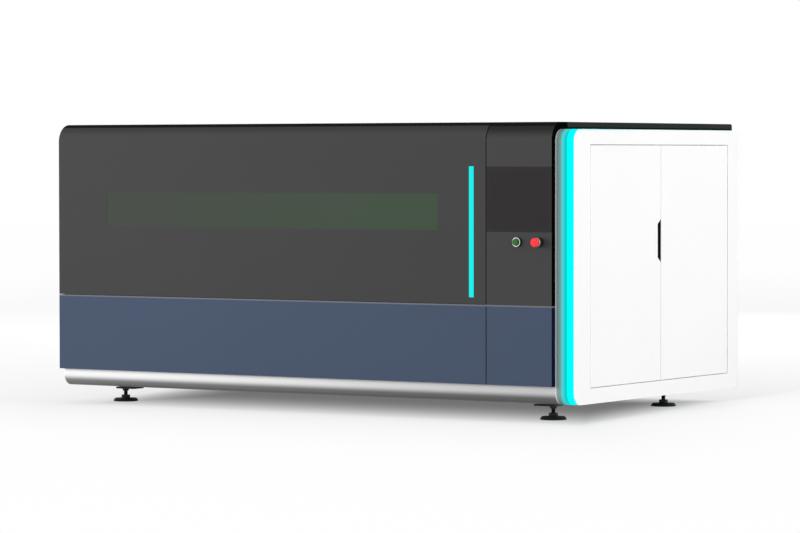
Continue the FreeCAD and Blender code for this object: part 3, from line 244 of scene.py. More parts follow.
def painted_brow_shade(slow, quick, low, high, *ends):
    """Painted shade over the brow: black painted in with a slow change between two heights, then a quick
    one.

    The share of black is slow * ramp(low, high) + quick * ramp(high, high + 11 mm), so slow and quick
    together are 1. The folded ends get painted shade too, and are blacker still.
    """
    def painted_light(f):
        """Share of painted shade, and the painted black itself."""
        z = f.axis("Z")
        over = f.ramp(z, low, high) * slow + f.ramp(z, high, high + 11) * quick
        folded = at_ends(f, *ends)
        return over.math("MAXIMUM", folded), f.blend(folded, seen(20, 20, 20), seen(2, 2, 2))
    return painted_light


def shaded_skirt_ends(f):
    """Folded ends of the skirts, with painted shade: a deeper blue on the end faces, which lie in shade."""
    return at_ends(f, 0, hatch_end, console_start, shell_end), seen(12, 26, 50)


def shadow_gap(f):
    """Lower edge of the roof, which lies in the dark gap above the side module: a painted shadow, teal with
    painted light from the ring.
    """
    z = f.axis("Z")
    return (z < roof_bottom + 12.0) * (z > roof_bottom - 1.0), seen(4, 26, 24)


def painted_ring_glow(f):
    """Top edge of the side frame, with the ring's cyan light painted on where the ring is near."""
    near = 1 - f.ramp(f.axis("Y"), 100.0, 1200.0) * 0.8
    return f.ramp(f.axis("Z"), frame_top - 16, frame_top - 2) * near, (0.5, 0.87, 0.87, 1.0)


hatch_end = float(node_box("hatch_shell")[1][0])
console_start = float(node_box("console_panel")[0][0])
roof_bottom = float(node_box("roof_panel")[0][2])
frame_top = float(node_box("side_frame")[1][2])
# painted shade over the brow and on the folded ends of the graphite panels
hatch_brow_shade = painted_brow_shade(0.45, 0.55, shell_top - 78, shell_top - 28, 0, hatch_end)
console_brow_shade = painted_brow_shade(0.75, 0.25, shell_top - 112, shell_top - 32, console_start, shell_end)
graphite_hatch = powder_coat("graphite_hatch_coat", seen(61, 61, 61), specular=0.2, painted_light=hatch_brow_shade)
graphite_console = powder_coat("graphite_console_coat", seen(62, 62, 62), specular=0.2, painted_light=console_brow_shade)
# painted shade on the skirts' folded end faces
slate_blue = powder_coat("slate_blue_coat", seen(67, 79, 100), specular=0.2, painted_light=shaded_skirt_ends)
# painted shadow, tinted with painted cyan light, along the roof's lower edge
roof_black = powder_coat("roof_black_coat", seen(17, 21, 20), gloss=0.5, specular=0.1, painted_light=shadow_gap)
sheet_white = shade(white, 0.87)
cabinet_white = powder_coat("cabinet_white_coat", sheet_white, gloss=0.38, peel=0.05)
# painted cyan light from the ring along the side frame's top edge
frame_white = powder_coat("frame_white_coat", sheet_white, gloss=0.38, peel=0.05, painted_light=painted_ring_glow)
inner_grey = powder_coat("inner_grey_coat", seen(168, 170, 172), gloss=0.55, peel=0.1)
frame_grey = powder_coat("frame_grey_paint", seen(92, 96, 100), gloss=0.6, peel=0.2)
print("powder coats: graphite, slate blue, roof black, cabinet white, inner grey, frame grey")

# %% [markdown]
# ## Silver lacquer
# The plinth and the rim are sprayed with a silver lacquer. It holds fine aluminium flakes, so it is part
# metal and part paint, and it sparkles very finely. A high noise scale stands for the flakes.

# %% Silver lacquer
def silver_lacquer(name, colour, metal, painted_shade_heights=None):
    """Silver with fine flakes; the last argument gives the two heights between which painted shade turns it
    from dark to bright.

    With them the lacquer also gets painted shade that darkens it along the machine and at its lowest edge,
    where the floor is near.
    """
    f = Finish(name)
    flakes = f.grain(900.0, detail=0.0)
    slow = f.grain(1.7, detail=3.0)
    base = f.blend(flakes, shade(colour, 0.93), colour)
    if painted_shade_heights:
        # painted shade: the lower rounding, the right end and the lowest edge are darkened in the colour
        base = f.blend(f.ramp(f.axis("Z"), *painted_shade_heights), shade(colour, 0.23), base)
        base = f.blend(f.ramp(f.axis("X"), 0.0, shell_end + 600.0) * 0.4, base, black)
        base = f.blend(f.ramp(0 - f.axis("Z"), -148.0, -122.0) * 0.42, base, black)
    return f.end(f.surface(base_color=base, metallic=metal, roughness=slow * 0.06 + 0.36,
                           normal=f.relief(flakes, 0.01)))


def painted_rim_light():
    """Silver rim beside the lit ring, with painted light: the ring's light is painted over it as colour and
    as a glow of its own, and fades towards the front shell.

    From its bright rounded edge, a painted highlight, the silver turns darker, and over its width the
    painted cyan takes over.
    """
    f = Finish("rim_lacquer_painted_light")
    x = f.axis("X")
    flakes = f.grain(900.0, detail=0.0)
    edge = f.ramp(x, rim_start + 5, rim_start + 14)
    # painted highlight: the rounded edge is given a brighter silver
    lacquer = f.blend(edge, seen(224, 228, 224), seen(146, 154, 154))
    half = f.ramp(x, rim_start + 20, rim_start + 38) * 0.5
    rest = f.ramp(x, rim_start + 50, rim_start + 73)
    fading = 1 - (1 - half) * (1 - rest)
    light = f.ramp(x, rim_start + 11, rim_start + 72)
    # painted light: the ring's cyan is painted over the rim, which glows though it is no lamp
    base = f.blend(fading, lacquer, (0.0, 0.02, 0.02, 1.0))
    glow = f.blend(light, black, (0.0, 0.6, 0.6, 1.0))
    return f.end(f.surface(base_color=base, metallic=0.2, roughness=flakes * 0.1 + 0.5,
                           specular_ior_level=0.1, emission_color=glow, emission_strength=1.0))


rim_start, rim_end = (float(side[0]) for side in node_box("side_rim"))
silver = silver_lacquer("silver_lacquer", seen(226, 226, 228), metal=0.25)
# the plinth's lacquer carries painted shade on its underside and towards the right end
plinth_silver = silver_lacquer("plinth_lacquer", seen(255, 255, 255), metal=0.25, painted_shade_heights=(153.0, 197.0))
strip_grey = silver_lacquer("strip_lacquer", seen(104, 108, 118), metal=0.2)
# the rim's finish carries painted light from the ring
rim_with_painted_light = painted_rim_light()
print("silver lacquer: plinth, strip and rim; the glow crosses", round(rim_end - rim_start), "mm of rim")

# %% [markdown]
# ## Light diffusers
# The ring and the bar are milky acrylic with LED tape behind. The tape's dots blur into an almost even
# light. So the finish gives its own light, and hardly reflects.

# %% Cyan diffusers
def diffuser(name, colour, pitch, lit=None):
    """Lit acrylic with an LED every pitch mm up its height; lit(f) says where it gives light."""
    f = Finish(name)
    dots = (f.axis("Z") * (2 * math.pi / pitch)).math("SINE") * 0.5 + 0.5
    cloud = f.grain(40.0, detail=1.0)
    light = f.blend(dots * 0.5 + cloud * 0.5, shade(colour, 0.97), colour)
    if lit:
        light = f.blend(lit(f), black, light)
    return f.end(f.surface(base_color=(0.0, 0.1, 0.1, 1.0), roughness=cloud * 0.1 + 0.6,
                           specular_ior_level=0.0, emission_color=light, emission_strength=1.0))


def above_the_belly(f):
    """The ring's underside is closed, so no light falls straight on the floor."""
    return f.axis("Z") > ring_bottom + 1.0


ring_bottom = float(node_box("light_ring")[0][2])
ring_light = diffuser("cyan_ring_light", (0.0, 1.0, 1.0, 1.0), 16.0, above_the_belly)
bar_light = diffuser("cyan_bar_light", (0.012, 0.8, 0.77, 1.0), 12.0)
print("diffusers: ring and bar")

# %% [markdown]
# ## Glass and the laser-safe window
# The touch screen is dark glass over a switched-off display: a smooth surface over near-black, with the
# display's edge just showing. The window is a green polymer that stops the laser's light; it is so
# dense that little of the inside shows through.

# %% Screen and window
def screen_glass():
    """Dark glass whose display area is a touch darker than its printed border."""
    low, high = (point.tolist() for point in node_box("touch_screen"))
    f = Finish("screen_glass")
    x, z = f.axis("X"), f.axis("Z")
    border = 22.0
    across = (x > low[0] + border) * (x < high[0] - border)
    inside = across * (z > low[2] + border) * (z < high[2] - border)
    smears = f.grain(9.0, detail=5.0)
    base = f.blend(inside, seen(44, 41, 42), seen(42, 39, 40))
    return f.end(f.surface(base_color=base, roughness=smears * 0.05 + 0.15, specular_ior_level=0.15))


def window_polymer():
    """Laser-safe pane, a little greyer towards its left end."""
    left_end, right_end = (float(side[0]) for side in node_box("hatch_window"))
    f = Finish("laser_safe_polymer")
    along = f.ramp(f.axis("X"), left_end, right_end)
    ripple = f.grain(14.0, detail=2.0)
    base = f.blend(along, seen(63, 69, 62), seen(61, 77, 61))
    return f.end(f.surface(base_color=base, roughness=ripple * 0.04 + 0.3, specular_ior_level=0.2,
                           alpha=ripple * 0.02 + 0.94, normal=f.relief(ripple, 0.05)))


screen = screen_glass()
window = window_polymer()
print("glass: screen and window")

# %% [markdown]
# ## Bare metals and plastics
# Inside the hatch are ground guide rails, milled aluminium castings, zinc-coated sheets and slats with
# their rolling skin. Each gets the trace of its making: grinding lines, milling marks, zinc flowers, scale.
# Plastics have the fine dull grain of their mould.

# %% Metals
def worked_metal(name, colour, stretch, roughness=0.3, depth=0.01):
    """Metal with fine lines; stretch gives the lines' fineness along X, Y and Z."""
    f = Finish(name)
    lines = f.grain(1.0, detail=6.0, vector=f.stretched(*stretch))
    base = f.blend(lines, shade(colour, 0.82), colour)
    return f.end(f.surface(base_color=base, metallic=1.0, roughness=lines * 0.18 + (roughness - 0.09),
                           normal=f.relief(lines, depth)))


def zinc_sheet():
    """Zinc coat: its flowers are cells that differ a little in grey and in gloss."""
    f = Finish("zinc_coated_sheet")
    flowers = f.node("ShaderNodeTexVoronoi", sockets={"Vector": f.place(), "Scale": 60.0}, out="Color")
    grey = f.node("ShaderNodeSeparateColor", sockets={"Color": flowers})
    base = f.blend(grey, seen(158, 163, 167), seen(196, 200, 203))
    return f.end(f.surface(base_color=base, metallic=0.9, roughness=grey * 0.16 + 0.34))


def rolled_slat():
    """Rolled strip with the patchy scale that it leaves the mill with."""
    f = Finish("rolled_slat_steel")
    scale = f.grain(22.0, detail=7.0, roughness=0.65)
    base = f.blend(scale, seen(132, 128, 125), seen(188, 184, 180))
    return f.end(f.surface(base_color=base, metallic=0.5, roughness=scale * 0.25 + 0.35,
                           normal=f.relief(scale, 0.08)))


def moulded_plastic(name, colour, gloss=0.45, grain_depth=0.03):
    """Dull moulded plastic: an even colour with the fine grain of the mould."""
    f = Finish(name)
    grain = f.grain(1400.0, detail=1.0)
    tone = f.grain(30.0, detail=2.0)
    base = f.blend(tone, shade(colour, 0.92), colour)
    return f.end(f.surface(base_color=base, roughness=grain * 0.08 + (gloss - 0.04),
                           normal=f.relief(grain, grain_depth)))


ground_steel = worked_metal("ground_steel", seen(190, 192, 194), (8.0, 900.0, 900.0))
milled_aluminium = worked_metal("milled_aluminium", seen(205, 207, 209), (300.0, 300.0, 60.0), 0.36)
bright_chrome = worked_metal("bright_chrome", seen(235, 236, 238), (200.0, 200.0, 200.0), 0.2, 0.004)
dark_thread = worked_metal("dark_thread_steel", seen(92, 94, 97), (60.0, 60.0, 400.0), 0.4)
nozzle_copper = worked_metal("nozzle_copper", seen(205, 130, 92), (400.0, 400.0, 900.0), 0.28)
zinc = zinc_sheet()
slat_steel = rolled_slat()
black_steel = powder_coat("black_steel", seen(24, 24, 25), gloss=0.42, peel=0.1)
motor_black = powder_coat("motor_black", seen(34, 34, 36), gloss=0.55, peel=0.15)
black_plastic = moulded_plastic("black_plastic", seen(20, 20, 21))
green_plastic = moulded_plastic("green_cap_plastic", seen(18, 98, 22), 0.3, 0.01)
red_plastic = moulded_plastic("red_head_plastic", seen(255, 46, 54), 0.32, 0.01)
pale_plastic = moulded_plastic("pale_collar_plastic", seen(212, 208, 200), 0.4)
black_rubber = moulded_plastic("black_rubber", seen(26, 26, 26), 0.75, 0.08)
print("metals and plastics:", len(bpy.data.materials), "finishes so far")

# %% [markdown]
# ## Paint the frame's own pieces
# The frame's panels and mechanisms already have the right shape, so each only needs its finish. One table
# says which piece gets which.

# %% Finishes of the frame's pieces
finish_of = {
    graphite_hatch: ["hatch_shell"],
    graphite_console: ["console_panel"],
    slate_blue: ["lower_skirt_left", "lower_skirt_right"],
    roof_black: ["roof_panel"],
    silver: ["left_end_wall", "rear_panels"],
    plinth_silver: ["plinth_front"],
    strip_grey: ["sill_strip"],
    rim_with_painted_light: ["side_rim"],
    ring_light: ["light_ring"],
    bar_light: ["hatch_light_bar"],
    frame_white: ["side_frame"],
    cabinet_white: ["cabinet_door_front", "cabinet_door_rear", "laser_source"],
    screen: ["touch_screen"],
    window: ["hatch_window"],
    inner_grey: ["hatch_inner_panel", "partition_wall"],
    frame_grey: ["base_frame", "upper_frame", "bed_frame"],
    zinc: ["belly_pan", "scrap_tray", "cabinet_floor", "electrical_plate"],
    slat_steel: ["slats"],
    ground_steel: ["x_guides", "strut_rod_left", "strut_rod_right", "strut_studs"],
    milled_aluminium: ["gantry_trucks", "gantry_beam", "carriage", "z_slide", "cutting_head"],
    motor_black: ["gantry_motors", "servo_drives"],
    black_steel: ["levelling_feet", "foot_plates", "door_hinges", "hatch_hinge_arms",
                  "hatch_hinge_blocks", "hatch_strut_lugs", "strut_tube_left", "strut_tube_right"],
    black_plastic: ["console_fittings", "stop_plunger", "handle_pocket", "window_frame"],
    green_plastic: ["start_button_cap"],
    red_plastic: ["stop_head"],
}


def paint(piece, material):
    """Gives a piece its one material."""
    piece.data.materials.clear()
    piece.data.materials.append(material)


for material, names in finish_of.items():
    for name in names:
        paint(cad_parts[name], material)
unpainted = set(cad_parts) - {name for names in finish_of.values() for name in names}
print("painted", len(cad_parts) - len(unpainted), "pieces; left over:", sorted(unpainted))

# %% [markdown]
# ## Surfaces from numbers
# A new piece starts as a grid of points: one direction runs along a profile, the other round an axis or
# along a path. The whole grid is worked out at once and handed to Blender, which only has to join
# neighbours into faces.

# %% Grid surfaces, turned pieces and bars
def quads(rows, columns):
    """Corner numbers of the faces between neighbours in a grid whose last column joins the first."""
    i, j = np.meshgrid(np.arange(rows - 1), np.arange(columns), indexing="ij")
    k = (j + 1) % columns
    return np.stack([i * columns + j, i * columns + k, (i + 1) * columns + k, (i + 1) * columns + j],
                    axis=-1).reshape(-1, 4)


def finished(name, points, faces, material, body, smooth=40.0):
    """Makes the mesh, shades it smooth except over sharp edges, and lets it ride on its body."""
    mesh = bpy.data.meshes.new(name)
    mesh.from_pydata(np.asarray(points, float).tolist(), [], [list(map(int, f)) for f in faces])
    mesh.validate()
    joined = bmesh.new()
    joined.from_mesh(mesh)
    bmesh.ops.remove_doubles(joined, verts=joined.verts, dist=1e-6)
    bmesh.ops.recalc_face_normals(joined, faces=joined.faces)
    joined.to_mesh(mesh)
    joined.free()
    mesh.shade_smooth()
    mesh.set_sharp_from_angle(angle=math.radians(smooth))
    piece = bpy.data.objects.new(name, mesh)
    bpy.context.scene.collection.objects.link(piece)
    paint(piece, material)
    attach(piece, body)
    return piece


def frame_round(axis):
    """Two directions square to an axis and to each other."""
    axis = np.asarray(axis, float) / np.linalg.norm(axis)
    helper = np.array([0.0, 0.0, 1.0]) if abs(axis[2]) < 0.9 else np.array([1.0, 0.0, 0.0])
    side = np.cross(helper, axis)
    side /= np.linalg.norm(side)
    return axis, side, np.cross(axis, side)


def turned_points(profile, base, axis, sides, start=0.0):
    """Grid of a turned piece: each (radius, height) of the profile becomes a circle round the axis.

    Point = base + height * axis + radius * (cos t * side + sin t * up).
    """
    axis, side, up = frame_round(axis)
    radius, height = np.asarray(profile, float).T
    t = start + 2 * math.pi * np.arange(sides) / sides
    circle = np.cos(t)[:, None] * side + np.sin(t)[:, None] * up
    return np.asarray(base, float) + height[:, None, None] * axis + radius[:, None, None] * circle


def turned(name, profile, bases, axis, material, body, sides=48, start=0.0):
    """Turned piece at a base point, or one mesh with a copy at each of several base points."""
    places = np.atleast_2d(bases)
    grids = [turned_points(profile, place, axis, sides, start) for place in places]
    rows = len(profile)
    points = np.concatenate([metres(g.reshape(-1, 3)) for g in grids])
    faces = []
    for n in range(len(places)):
        first = n * rows * sides
        faces += (quads(rows, sides) + first).tolist()
        faces.append((np.arange(sides)[::-1] + first).tolist())
        faces.append((np.arange(sides) + first + (rows - 1) * sides).tolist())
    return finished(name, points, faces, material, body)


def turned_ring(name, profile, base, axis, material, body):
    """Turned piece with a hole through it: the profile runs back to its own start."""
    sides = 64
    closed = profile + profile[:1]
    points = turned_points(closed, base, axis, sides)
    faces = quads(len(closed), sides)
    return finished(name, metres(points.reshape(-1, 3)), faces, material, body)


def bar(name, outline, start, end, material, body, copies):
    """Straight piece: an outline of (y, z) points carried from x = start to x = end, for each copy."""
    outline = np.asarray(outline, float)
    n = len(outline)
    points, faces = [], []
    for shift in copies:
        first = len(points)
        for x in (start, end):
            points += (np.column_stack([np.full(n, x), outline]) + np.asarray(shift)).tolist()
        faces += (quads(2, n) + first).tolist()
        faces.append((np.arange(n)[::-1] + first).tolist())
        faces.append((np.arange(n) + first + n).tolist())
    return finished(name, metres(points), faces, material, body, smooth=35.0)


print("grid tools ready")

# %% [markdown]
# ## Levelling feet
# Each foot is a wide cone with a rubber ring that stands on the floor, a hub, a threaded rod with a hexagon
# nut, and a collar nut under the machine's foot plate. All of it is turned on a lathe but the nuts, which
# are turned with only six sides.

# %% Feet
upright = (0, 0, 1)
low, high = node_box("levelling_feet")
plain_radius = 85.0
foot_x = (low[0] + plain_radius, high[0] - plain_radius)
foot_y = (low[1] + plain_radius, high[1] - plain_radius)
foot_spots = [(x, y, 0.0) for x in foot_x for y in foot_y]
plate_height = float(high[2])
pad_profile = [(0.0, 5.0), (84.0, 5.0), (87.5, 5.5), (88.0, 7.0), (77.5, 20.5), (75.0, 22.0), (34.0, 22.5),
               (31.5, 24.0), (30.5, 30.0), (28.0, 31.5), (0.0, 31.5)]
ring_profile = [(0.0, 0.0), (84.5, 0.0), (86.5, 1.0), (87.0, 3.0), (86.0, 5.0), (0.0, 5.0)]
nut_profile = [(0.0, 31.5), (26.0, 31.5), (31.0, 33.5), (31.0, 43.0), (26.0, 45.0), (0.0, 45.0)]
thread_start, thread_end, thread_steps = 45.0, plate_height - 17.0, 14
thread_length = thread_end - thread_start
thread = [(14.0 - 1.2 * (k % 2), thread_start + k * thread_length / thread_steps)
          for k in range(thread_steps + 1)]
thread_profile = [(0.0, thread_start), *thread, (0.0, thread_end)]
collar_profile = [(0.0, thread_end), (20.0, thread_end), (24.0, thread_end + 1.5),
                  (24.0, plate_height - 5.0), (30.0, plate_height - 4.5), (30.0, plate_height),
                  (0.0, plate_height)]
feet = turned("foot_pads", pad_profile, foot_spots, upright, black_steel, "machine",
              sides=56)
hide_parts("levelling_feet")
turned("foot_rubber_rings", ring_profile, foot_spots, upright, black_rubber, "machine",
       sides=56)
turned("foot_lock_nuts", nut_profile, foot_spots, upright, black_steel, "machine", sides=6)
turned("foot_threaded_rods", thread_profile, foot_spots, upright, dark_thread, "machine",
       sides=24)
turned("foot_collar_nuts", collar_profile, foot_spots, upright, black_steel, "machine",
       sides=6, start=0.5)
print("feet at", [tuple(round(float(c)) for c in spot[:2]) for spot in foot_spots])

# %% [markdown]
# ## The two buttons
# Both stand on the console and are turned about an axis that points at the operator. The start button is a
# black bezel with a bright ring round a green cap. The emergency stop is a hollow black base that the
# plunger slides in, a pale collar, and a red mushroom head with a soft edge that a palm can strike.

# %% Start button
def axis_of(node):
    """Middle of a button, on the panel's face, in mm."""
    low, high = node_box(node)
    return np.array([(low[0] + high[0]) / 2, 0.0, (low[2] + high[2]) / 2])


to_operator = (0.0, -1.0, 0.0)
start_axis = axis_of("start_button_cap")
stop_axis = axis_of("stop_head")
bezel_profile = [(0.0, 0.0), (32.0, 0.0), (32.0, 16.0), (31.4, 18.0), (30.4, 19.0), (22.4, 19.0),
                 (21.6, 18.2), (21.6, 10.0), (0.0, 10.0)]
bright_profile = [(22.4, 18.0), (30.4, 18.0), (30.4, 19.8), (29.0, 20.8), (23.6, 20.8), (22.4, 19.8)]
cap_profile = [(0.0, 14.5), (20.8, 14.5), (20.8, 34.0), (20.3, 35.6), (19.0, 36.6), (14.0, 37.5),
               (7.0, 38.0), (0.0, 38.0)]
bezel = turned("start_bezel", bezel_profile, start_axis, to_operator, black_plastic, "machine",
               sides=64)
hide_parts("console_fittings")
turned_ring("start_bright_ring", bright_profile, start_axis, to_operator, bright_chrome, "machine")
cap = turned("start_cap", cap_profile, start_axis, to_operator, green_plastic, "start_button",
             sides=64)
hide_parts("start_button_cap")
print("start button at x", round(float(start_axis[0])), "z", round(float(start_axis[2])))

# %% Emergency stop
base_profile = [(0.0, 0.0), (33.0, 0.0), (33.0, 3.0), (32.0, 4.5), (29.5, 5.0), (29.5, 43.0), (18.5, 43.0),
                (18.5, 4.0), (0.0, 4.0)]
collar_profile = [(18.5, 43.0), (29.5, 43.0), (30.0, 44.0), (30.0, 46.0), (29.0, 47.0), (18.5, 47.0)]
neck_profile = [(0.0, 46.0), (17.0, 46.0), (17.5, 47.0), (17.5, 54.0), (0.0, 54.0)]
soft_edge = 5.0
dome = [(25.5 + soft_edge * math.cos(a), 65.0 + soft_edge * math.sin(a))
        for a in np.linspace(0.0, math.pi / 2, 9)]
head_profile = [(0.0, 54.0), (22.0, 54.0), (27.5, 55.0), (29.8, 57.5), (30.5, 60.5), *dome, (0.0, 70.0)]
turned("stop_base", base_profile, stop_axis, to_operator, black_plastic, "machine",
       sides=64)
turned_ring("stop_collar", collar_profile, stop_axis, to_operator, pale_plastic, "machine")
turned("stop_neck", neck_profile, stop_axis, to_operator, black_plastic, "stop_plunger",
       sides=48)
head = turned("stop_mushroom", head_profile, stop_axis, to_operator, red_plastic, "stop_head",
              sides=64)
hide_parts("stop_head")
print("emergency stop at x", round(float(stop_axis[0])), "and 70 mm proud")

# %% [markdown]
# ## Screen housing
# Behind the screen sits its closed sheet housing, which the column hides. It is made plainly, as one shape
# with softened edges.

# %% Screen housing
def box_points(low, high):
    """The eight corners of a box, and its six faces as seen from outside."""
    x0, y0, z0 = low
    x1, y1, z1 = high
    points = [(x0, y0, z0), (x1, y0, z0), (x1, y1, z0), (x0, y1, z0),
              (x0, y0, z1), (x1, y0, z1), (x1, y1, z1), (x0, y1, z1)]
    faces = [(3, 2, 1, 0), (4, 5, 6, 7), (0, 1, 5, 4), (1, 2, 6, 5), (2, 3, 7, 6), (3, 0, 4, 7)]
    return points, faces


def soft_block(name, low, high, radius, material, body):
    """Block with rounded edges."""
    points, faces = box_points(low, high)
    piece = finished(name, metres(points), faces, material, body)
    rounding = piece.modifiers.new("rounded edges", "BEVEL")
    rounding.width = radius / 1000
    rounding.segments = 3
    rounding.harden_normals = True
    return piece


low, high = node_box("touch_screen")
side_gap, edge_gap, housing_depth = 47, 25, 40.0
soft_block("screen_housing", (low[0] + side_gap, 0.2, low[2] + edge_gap),
           (high[0] - side_gap, housing_depth, high[2] - edge_gap), 3.0, zinc, "machine")
print("screen housing behind the glass")

# %% [markdown]
# ## Rear screws and louvre hoods
# The three rear panels are bolted on, and so is the fume collar's foot plate. Each screw is a low domed
# head with a round socket, turned once and copied along the edges. Every cooling slot in the right panel is
# sheltered by a pressed hood, which is a quarter of an ellipse carried along the slot.

# %% Rear screws
def screws(name, spots, radius):
    """Domed screw heads, one at each spot, standing up towards the rear."""
    height = radius * 0.55
    head = [(0.0, -0.5), (radius, -0.5), (radius, height * 0.3), (radius * 0.82, height * 0.8),
            (radius * 0.5, height), (radius * 0.45, height * 0.4), (0.0, height * 0.4)]
    return turned(name, head, spots, (0, 1, 0), zinc, "machine", sides=16)


rear_face = float(node_box("side_frame")[1][1])
panel_low = float(node_box("sill_strip")[0][2])
panel_high = float(node_box("rear_panels")[1][2])
left, right = (float(side[0]) for side in node_box("rear_panels"))
panel_gap = 3.0
panel_width = (right - left - 2 * panel_gap) / 3
inset = 26.0
screws_across, screws_up = 6, 5
spots = []
for k in range(3):
    start = left + k * (panel_width + panel_gap)
    columns = np.linspace(start + inset, start + panel_width - inset, screws_across)
    rows = np.linspace(panel_low + inset, panel_high - inset, screws_up)
    spots += [(x, rear_face, z) for x in columns for z in (rows[0], rows[-1])]
    spots += [(x, rear_face, z) for x in (columns[0], columns[-1]) for z in rows[1:-1]]
screws("rear_panel_screws", spots, 8.0)
collar_x, collar_z, plate_thick, aside = (left + right) / 2, 1500.0, 3.0, 104.0
plate_spots = [(collar_x + dx, rear_face + plate_thick, collar_z + dz)
               for dx in (-aside, aside) for dz in (-aside, aside)]
screws("collar_plate_screws", plate_spots, 7.0)
print(len(spots), "screws in the rear panels and", len(plate_spots), "in the fume collar's plate")

# %% Louvre hoods
hood_depth, hood_height, hood_sheet, half_hood = 10.0, 16.0, 1.5, 214.0
first_slot, slot_pitch, slot_count = 980.0, 40.0, 5
t = np.linspace(0.0, math.pi / 2, 8)
outer = np.column_stack([hood_depth * np.cos(t), hood_height * np.sin(t)])
t = t[::-1]
inner = np.column_stack([(hood_depth - hood_sheet) * np.cos(t), (hood_height - hood_sheet) * np.sin(t)])
hood = np.vstack([outer, inner]) + (rear_face, first_slot)
slot_middle = left + 2 * (panel_width + panel_gap) + panel_width / 2
bar("louvre_hoods", hood, slot_middle - half_hood, slot_middle + half_hood, silver, "machine",
    copies=[(0.0, 0.0, slot_pitch * k) for k in range(slot_count)])
print(slot_count, "louvre hoods round x", round(slot_middle))

# %% [markdown]
# ## Gas struts
# A gas strut is a black tube that ends in a rolled edge round its rod, with a flat eye at its foot. The
# tube is turned along the line from its foot on the frame to its head on the hatch. Both pivots are given
# by their depth behind the front face and their height.

# %% Strut tubes
foot_pivot = np.array([250.0, shell_top - 88.0])
head_pivot = np.array([68.0, shell_top - 390.0])
along = np.array([0.0, *(head_pivot - foot_pivot)])
along /= np.linalg.norm(along)
tube_profile = [(0.0, 10.0), (8.0, 10.0), (13.0, 16.0), (14.0, 20.0), (14.0, 254.0), (13.2, 259.0),
                (10.5, 262.0), (6.3, 262.0), (6.3, 250.0)]
eye_profile = [(0.0, -7.0), (11.0, -7.0), (13.0, -5.5), (13.0, 5.5), (11.0, 7.0), (0.0, 7.0)]
for side in ("left", "right"):
    low, high = node_box(f"strut_tube_{side}")
    middle = (low[0] + high[0]) / 2
    foot = (middle, *foot_pivot)
    tube = turned(f"strut_cylinder_{side}", tube_profile, foot, along, black_steel,
                  f"strut_tube_{side}", sides=40)
    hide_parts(f"strut_tube_{side}")
    turned(f"strut_eye_{side}", eye_profile, foot, (1, 0, 0), black_steel, f"strut_tube_{side}",
           sides=32)
print("two gas struts along", along.round(3))

# %% [markdown]
# ## Slats
# The sheet that is cut lies on rows of steel slats. Their fine teeth touch it only at points, so that the
# beam marks it little. The frame holds them with a few coarse teeth; here each slat gets its fine teeth,
# one about every 24 mm, as an outline that is carried over the slat's thickness.

# %% Slats
low, high = node_box("slats")
slat_count, half_thick, tooth_depth = 16, 2.0, 22.0
length = high[1] - low[1]
teeth = int(length // 24)
pitch = length / teeth
valley = low[1] + np.arange(teeth) * pitch
outline = np.empty((teeth * 2, 2))
outline[0::2] = np.column_stack([valley, np.full(teeth, high[2] - tooth_depth)])
outline[1::2] = np.column_stack([valley + pitch / 2, np.full(teeth, high[2])])
outline = np.vstack([outline, [[high[1], high[2] - tooth_depth], [high[1], low[2]], [low[1], low[2]]]])
slat_x = np.linspace(low[0] + half_thick, high[0] - half_thick, slat_count)
toothed = bar("toothed_slats", outline, -half_thick, half_thick, slat_steel, "machine",
              copies=[(x, 0.0, 0.0) for x in slat_x])
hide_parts("slats")
print(slat_count, "slats with", teeth, "teeth each")

# %% [markdown]
# ## Cutting head
# The head is what the machine is about: a block with the lenses, a round sensor that feels the distance to
# the sheet, and a copper nozzle. On top the fibre plugs into a turned connector. It is built from one
# softened block and several turned pieces on the same axis.

# %% Cutting head
low, high = node_box("cutting_head")
axis_x, axis_y = (low[0] + high[0]) / 2, (low[1] + high[1]) / 2
tip = low[2]
spot = (axis_x, axis_y, tip)
block_start, block_end = 60, 260
nozzle_profile = [(0.8, 0.0), (3.0, 0.0), (5.0, 2.0), (11.0, 11.0), (13.0, 13.0), (13.0, 19.0),
                  (11.0, 20.0), (0.0, 20.0)]
sensor_profile = [(0.0, 20.0), (15.0, 20.0), (18.0, 23.0), (18.0, 34.0), (16.5, 35.0), (16.5, 38.0),
                  (18.0, 39.0), (18.0, 56.0), (15.0, 60.0), (0.0, 60.0)]
connector_profile = [(0.0, 260.0), (14.0, 260.0), (14.0, 268.0), (11.5, 270.0), (11.5, 296.0),
                     (9.0, 300.0), (7.0, 310.0), (0.0, 310.0)]
body_block = soft_block("head_body", (low[0], low[1], tip + block_start),
                        (high[0], high[1], tip + block_end), 7.0, milled_aluminium, "head")
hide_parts("cutting_head")
turned("head_nozzle", nozzle_profile, spot, upright, nozzle_copper, "head", sides=48)
turned("head_sensor", sensor_profile, spot, upright, bright_chrome, "head", sides=48)
turned("head_connector", connector_profile, spot, upright, black_steel, "head", sides=40)
print("cutting head: nozzle tip", round(float(tip)), "mm above the floor")

# %% [markdown]
# ## Stage
# A pale floor and a white room, with soft lamps at the front, a front corner, the right end and the rear.
# Much of the light comes evenly from the room, as in a studio with white walls, and the lamps give it a
# direction. They are hidden from reflections, so no lamp shows in the glass. The floor keeps the machine's
# shadow, and most of the soft shadow under it is painted into the floor.

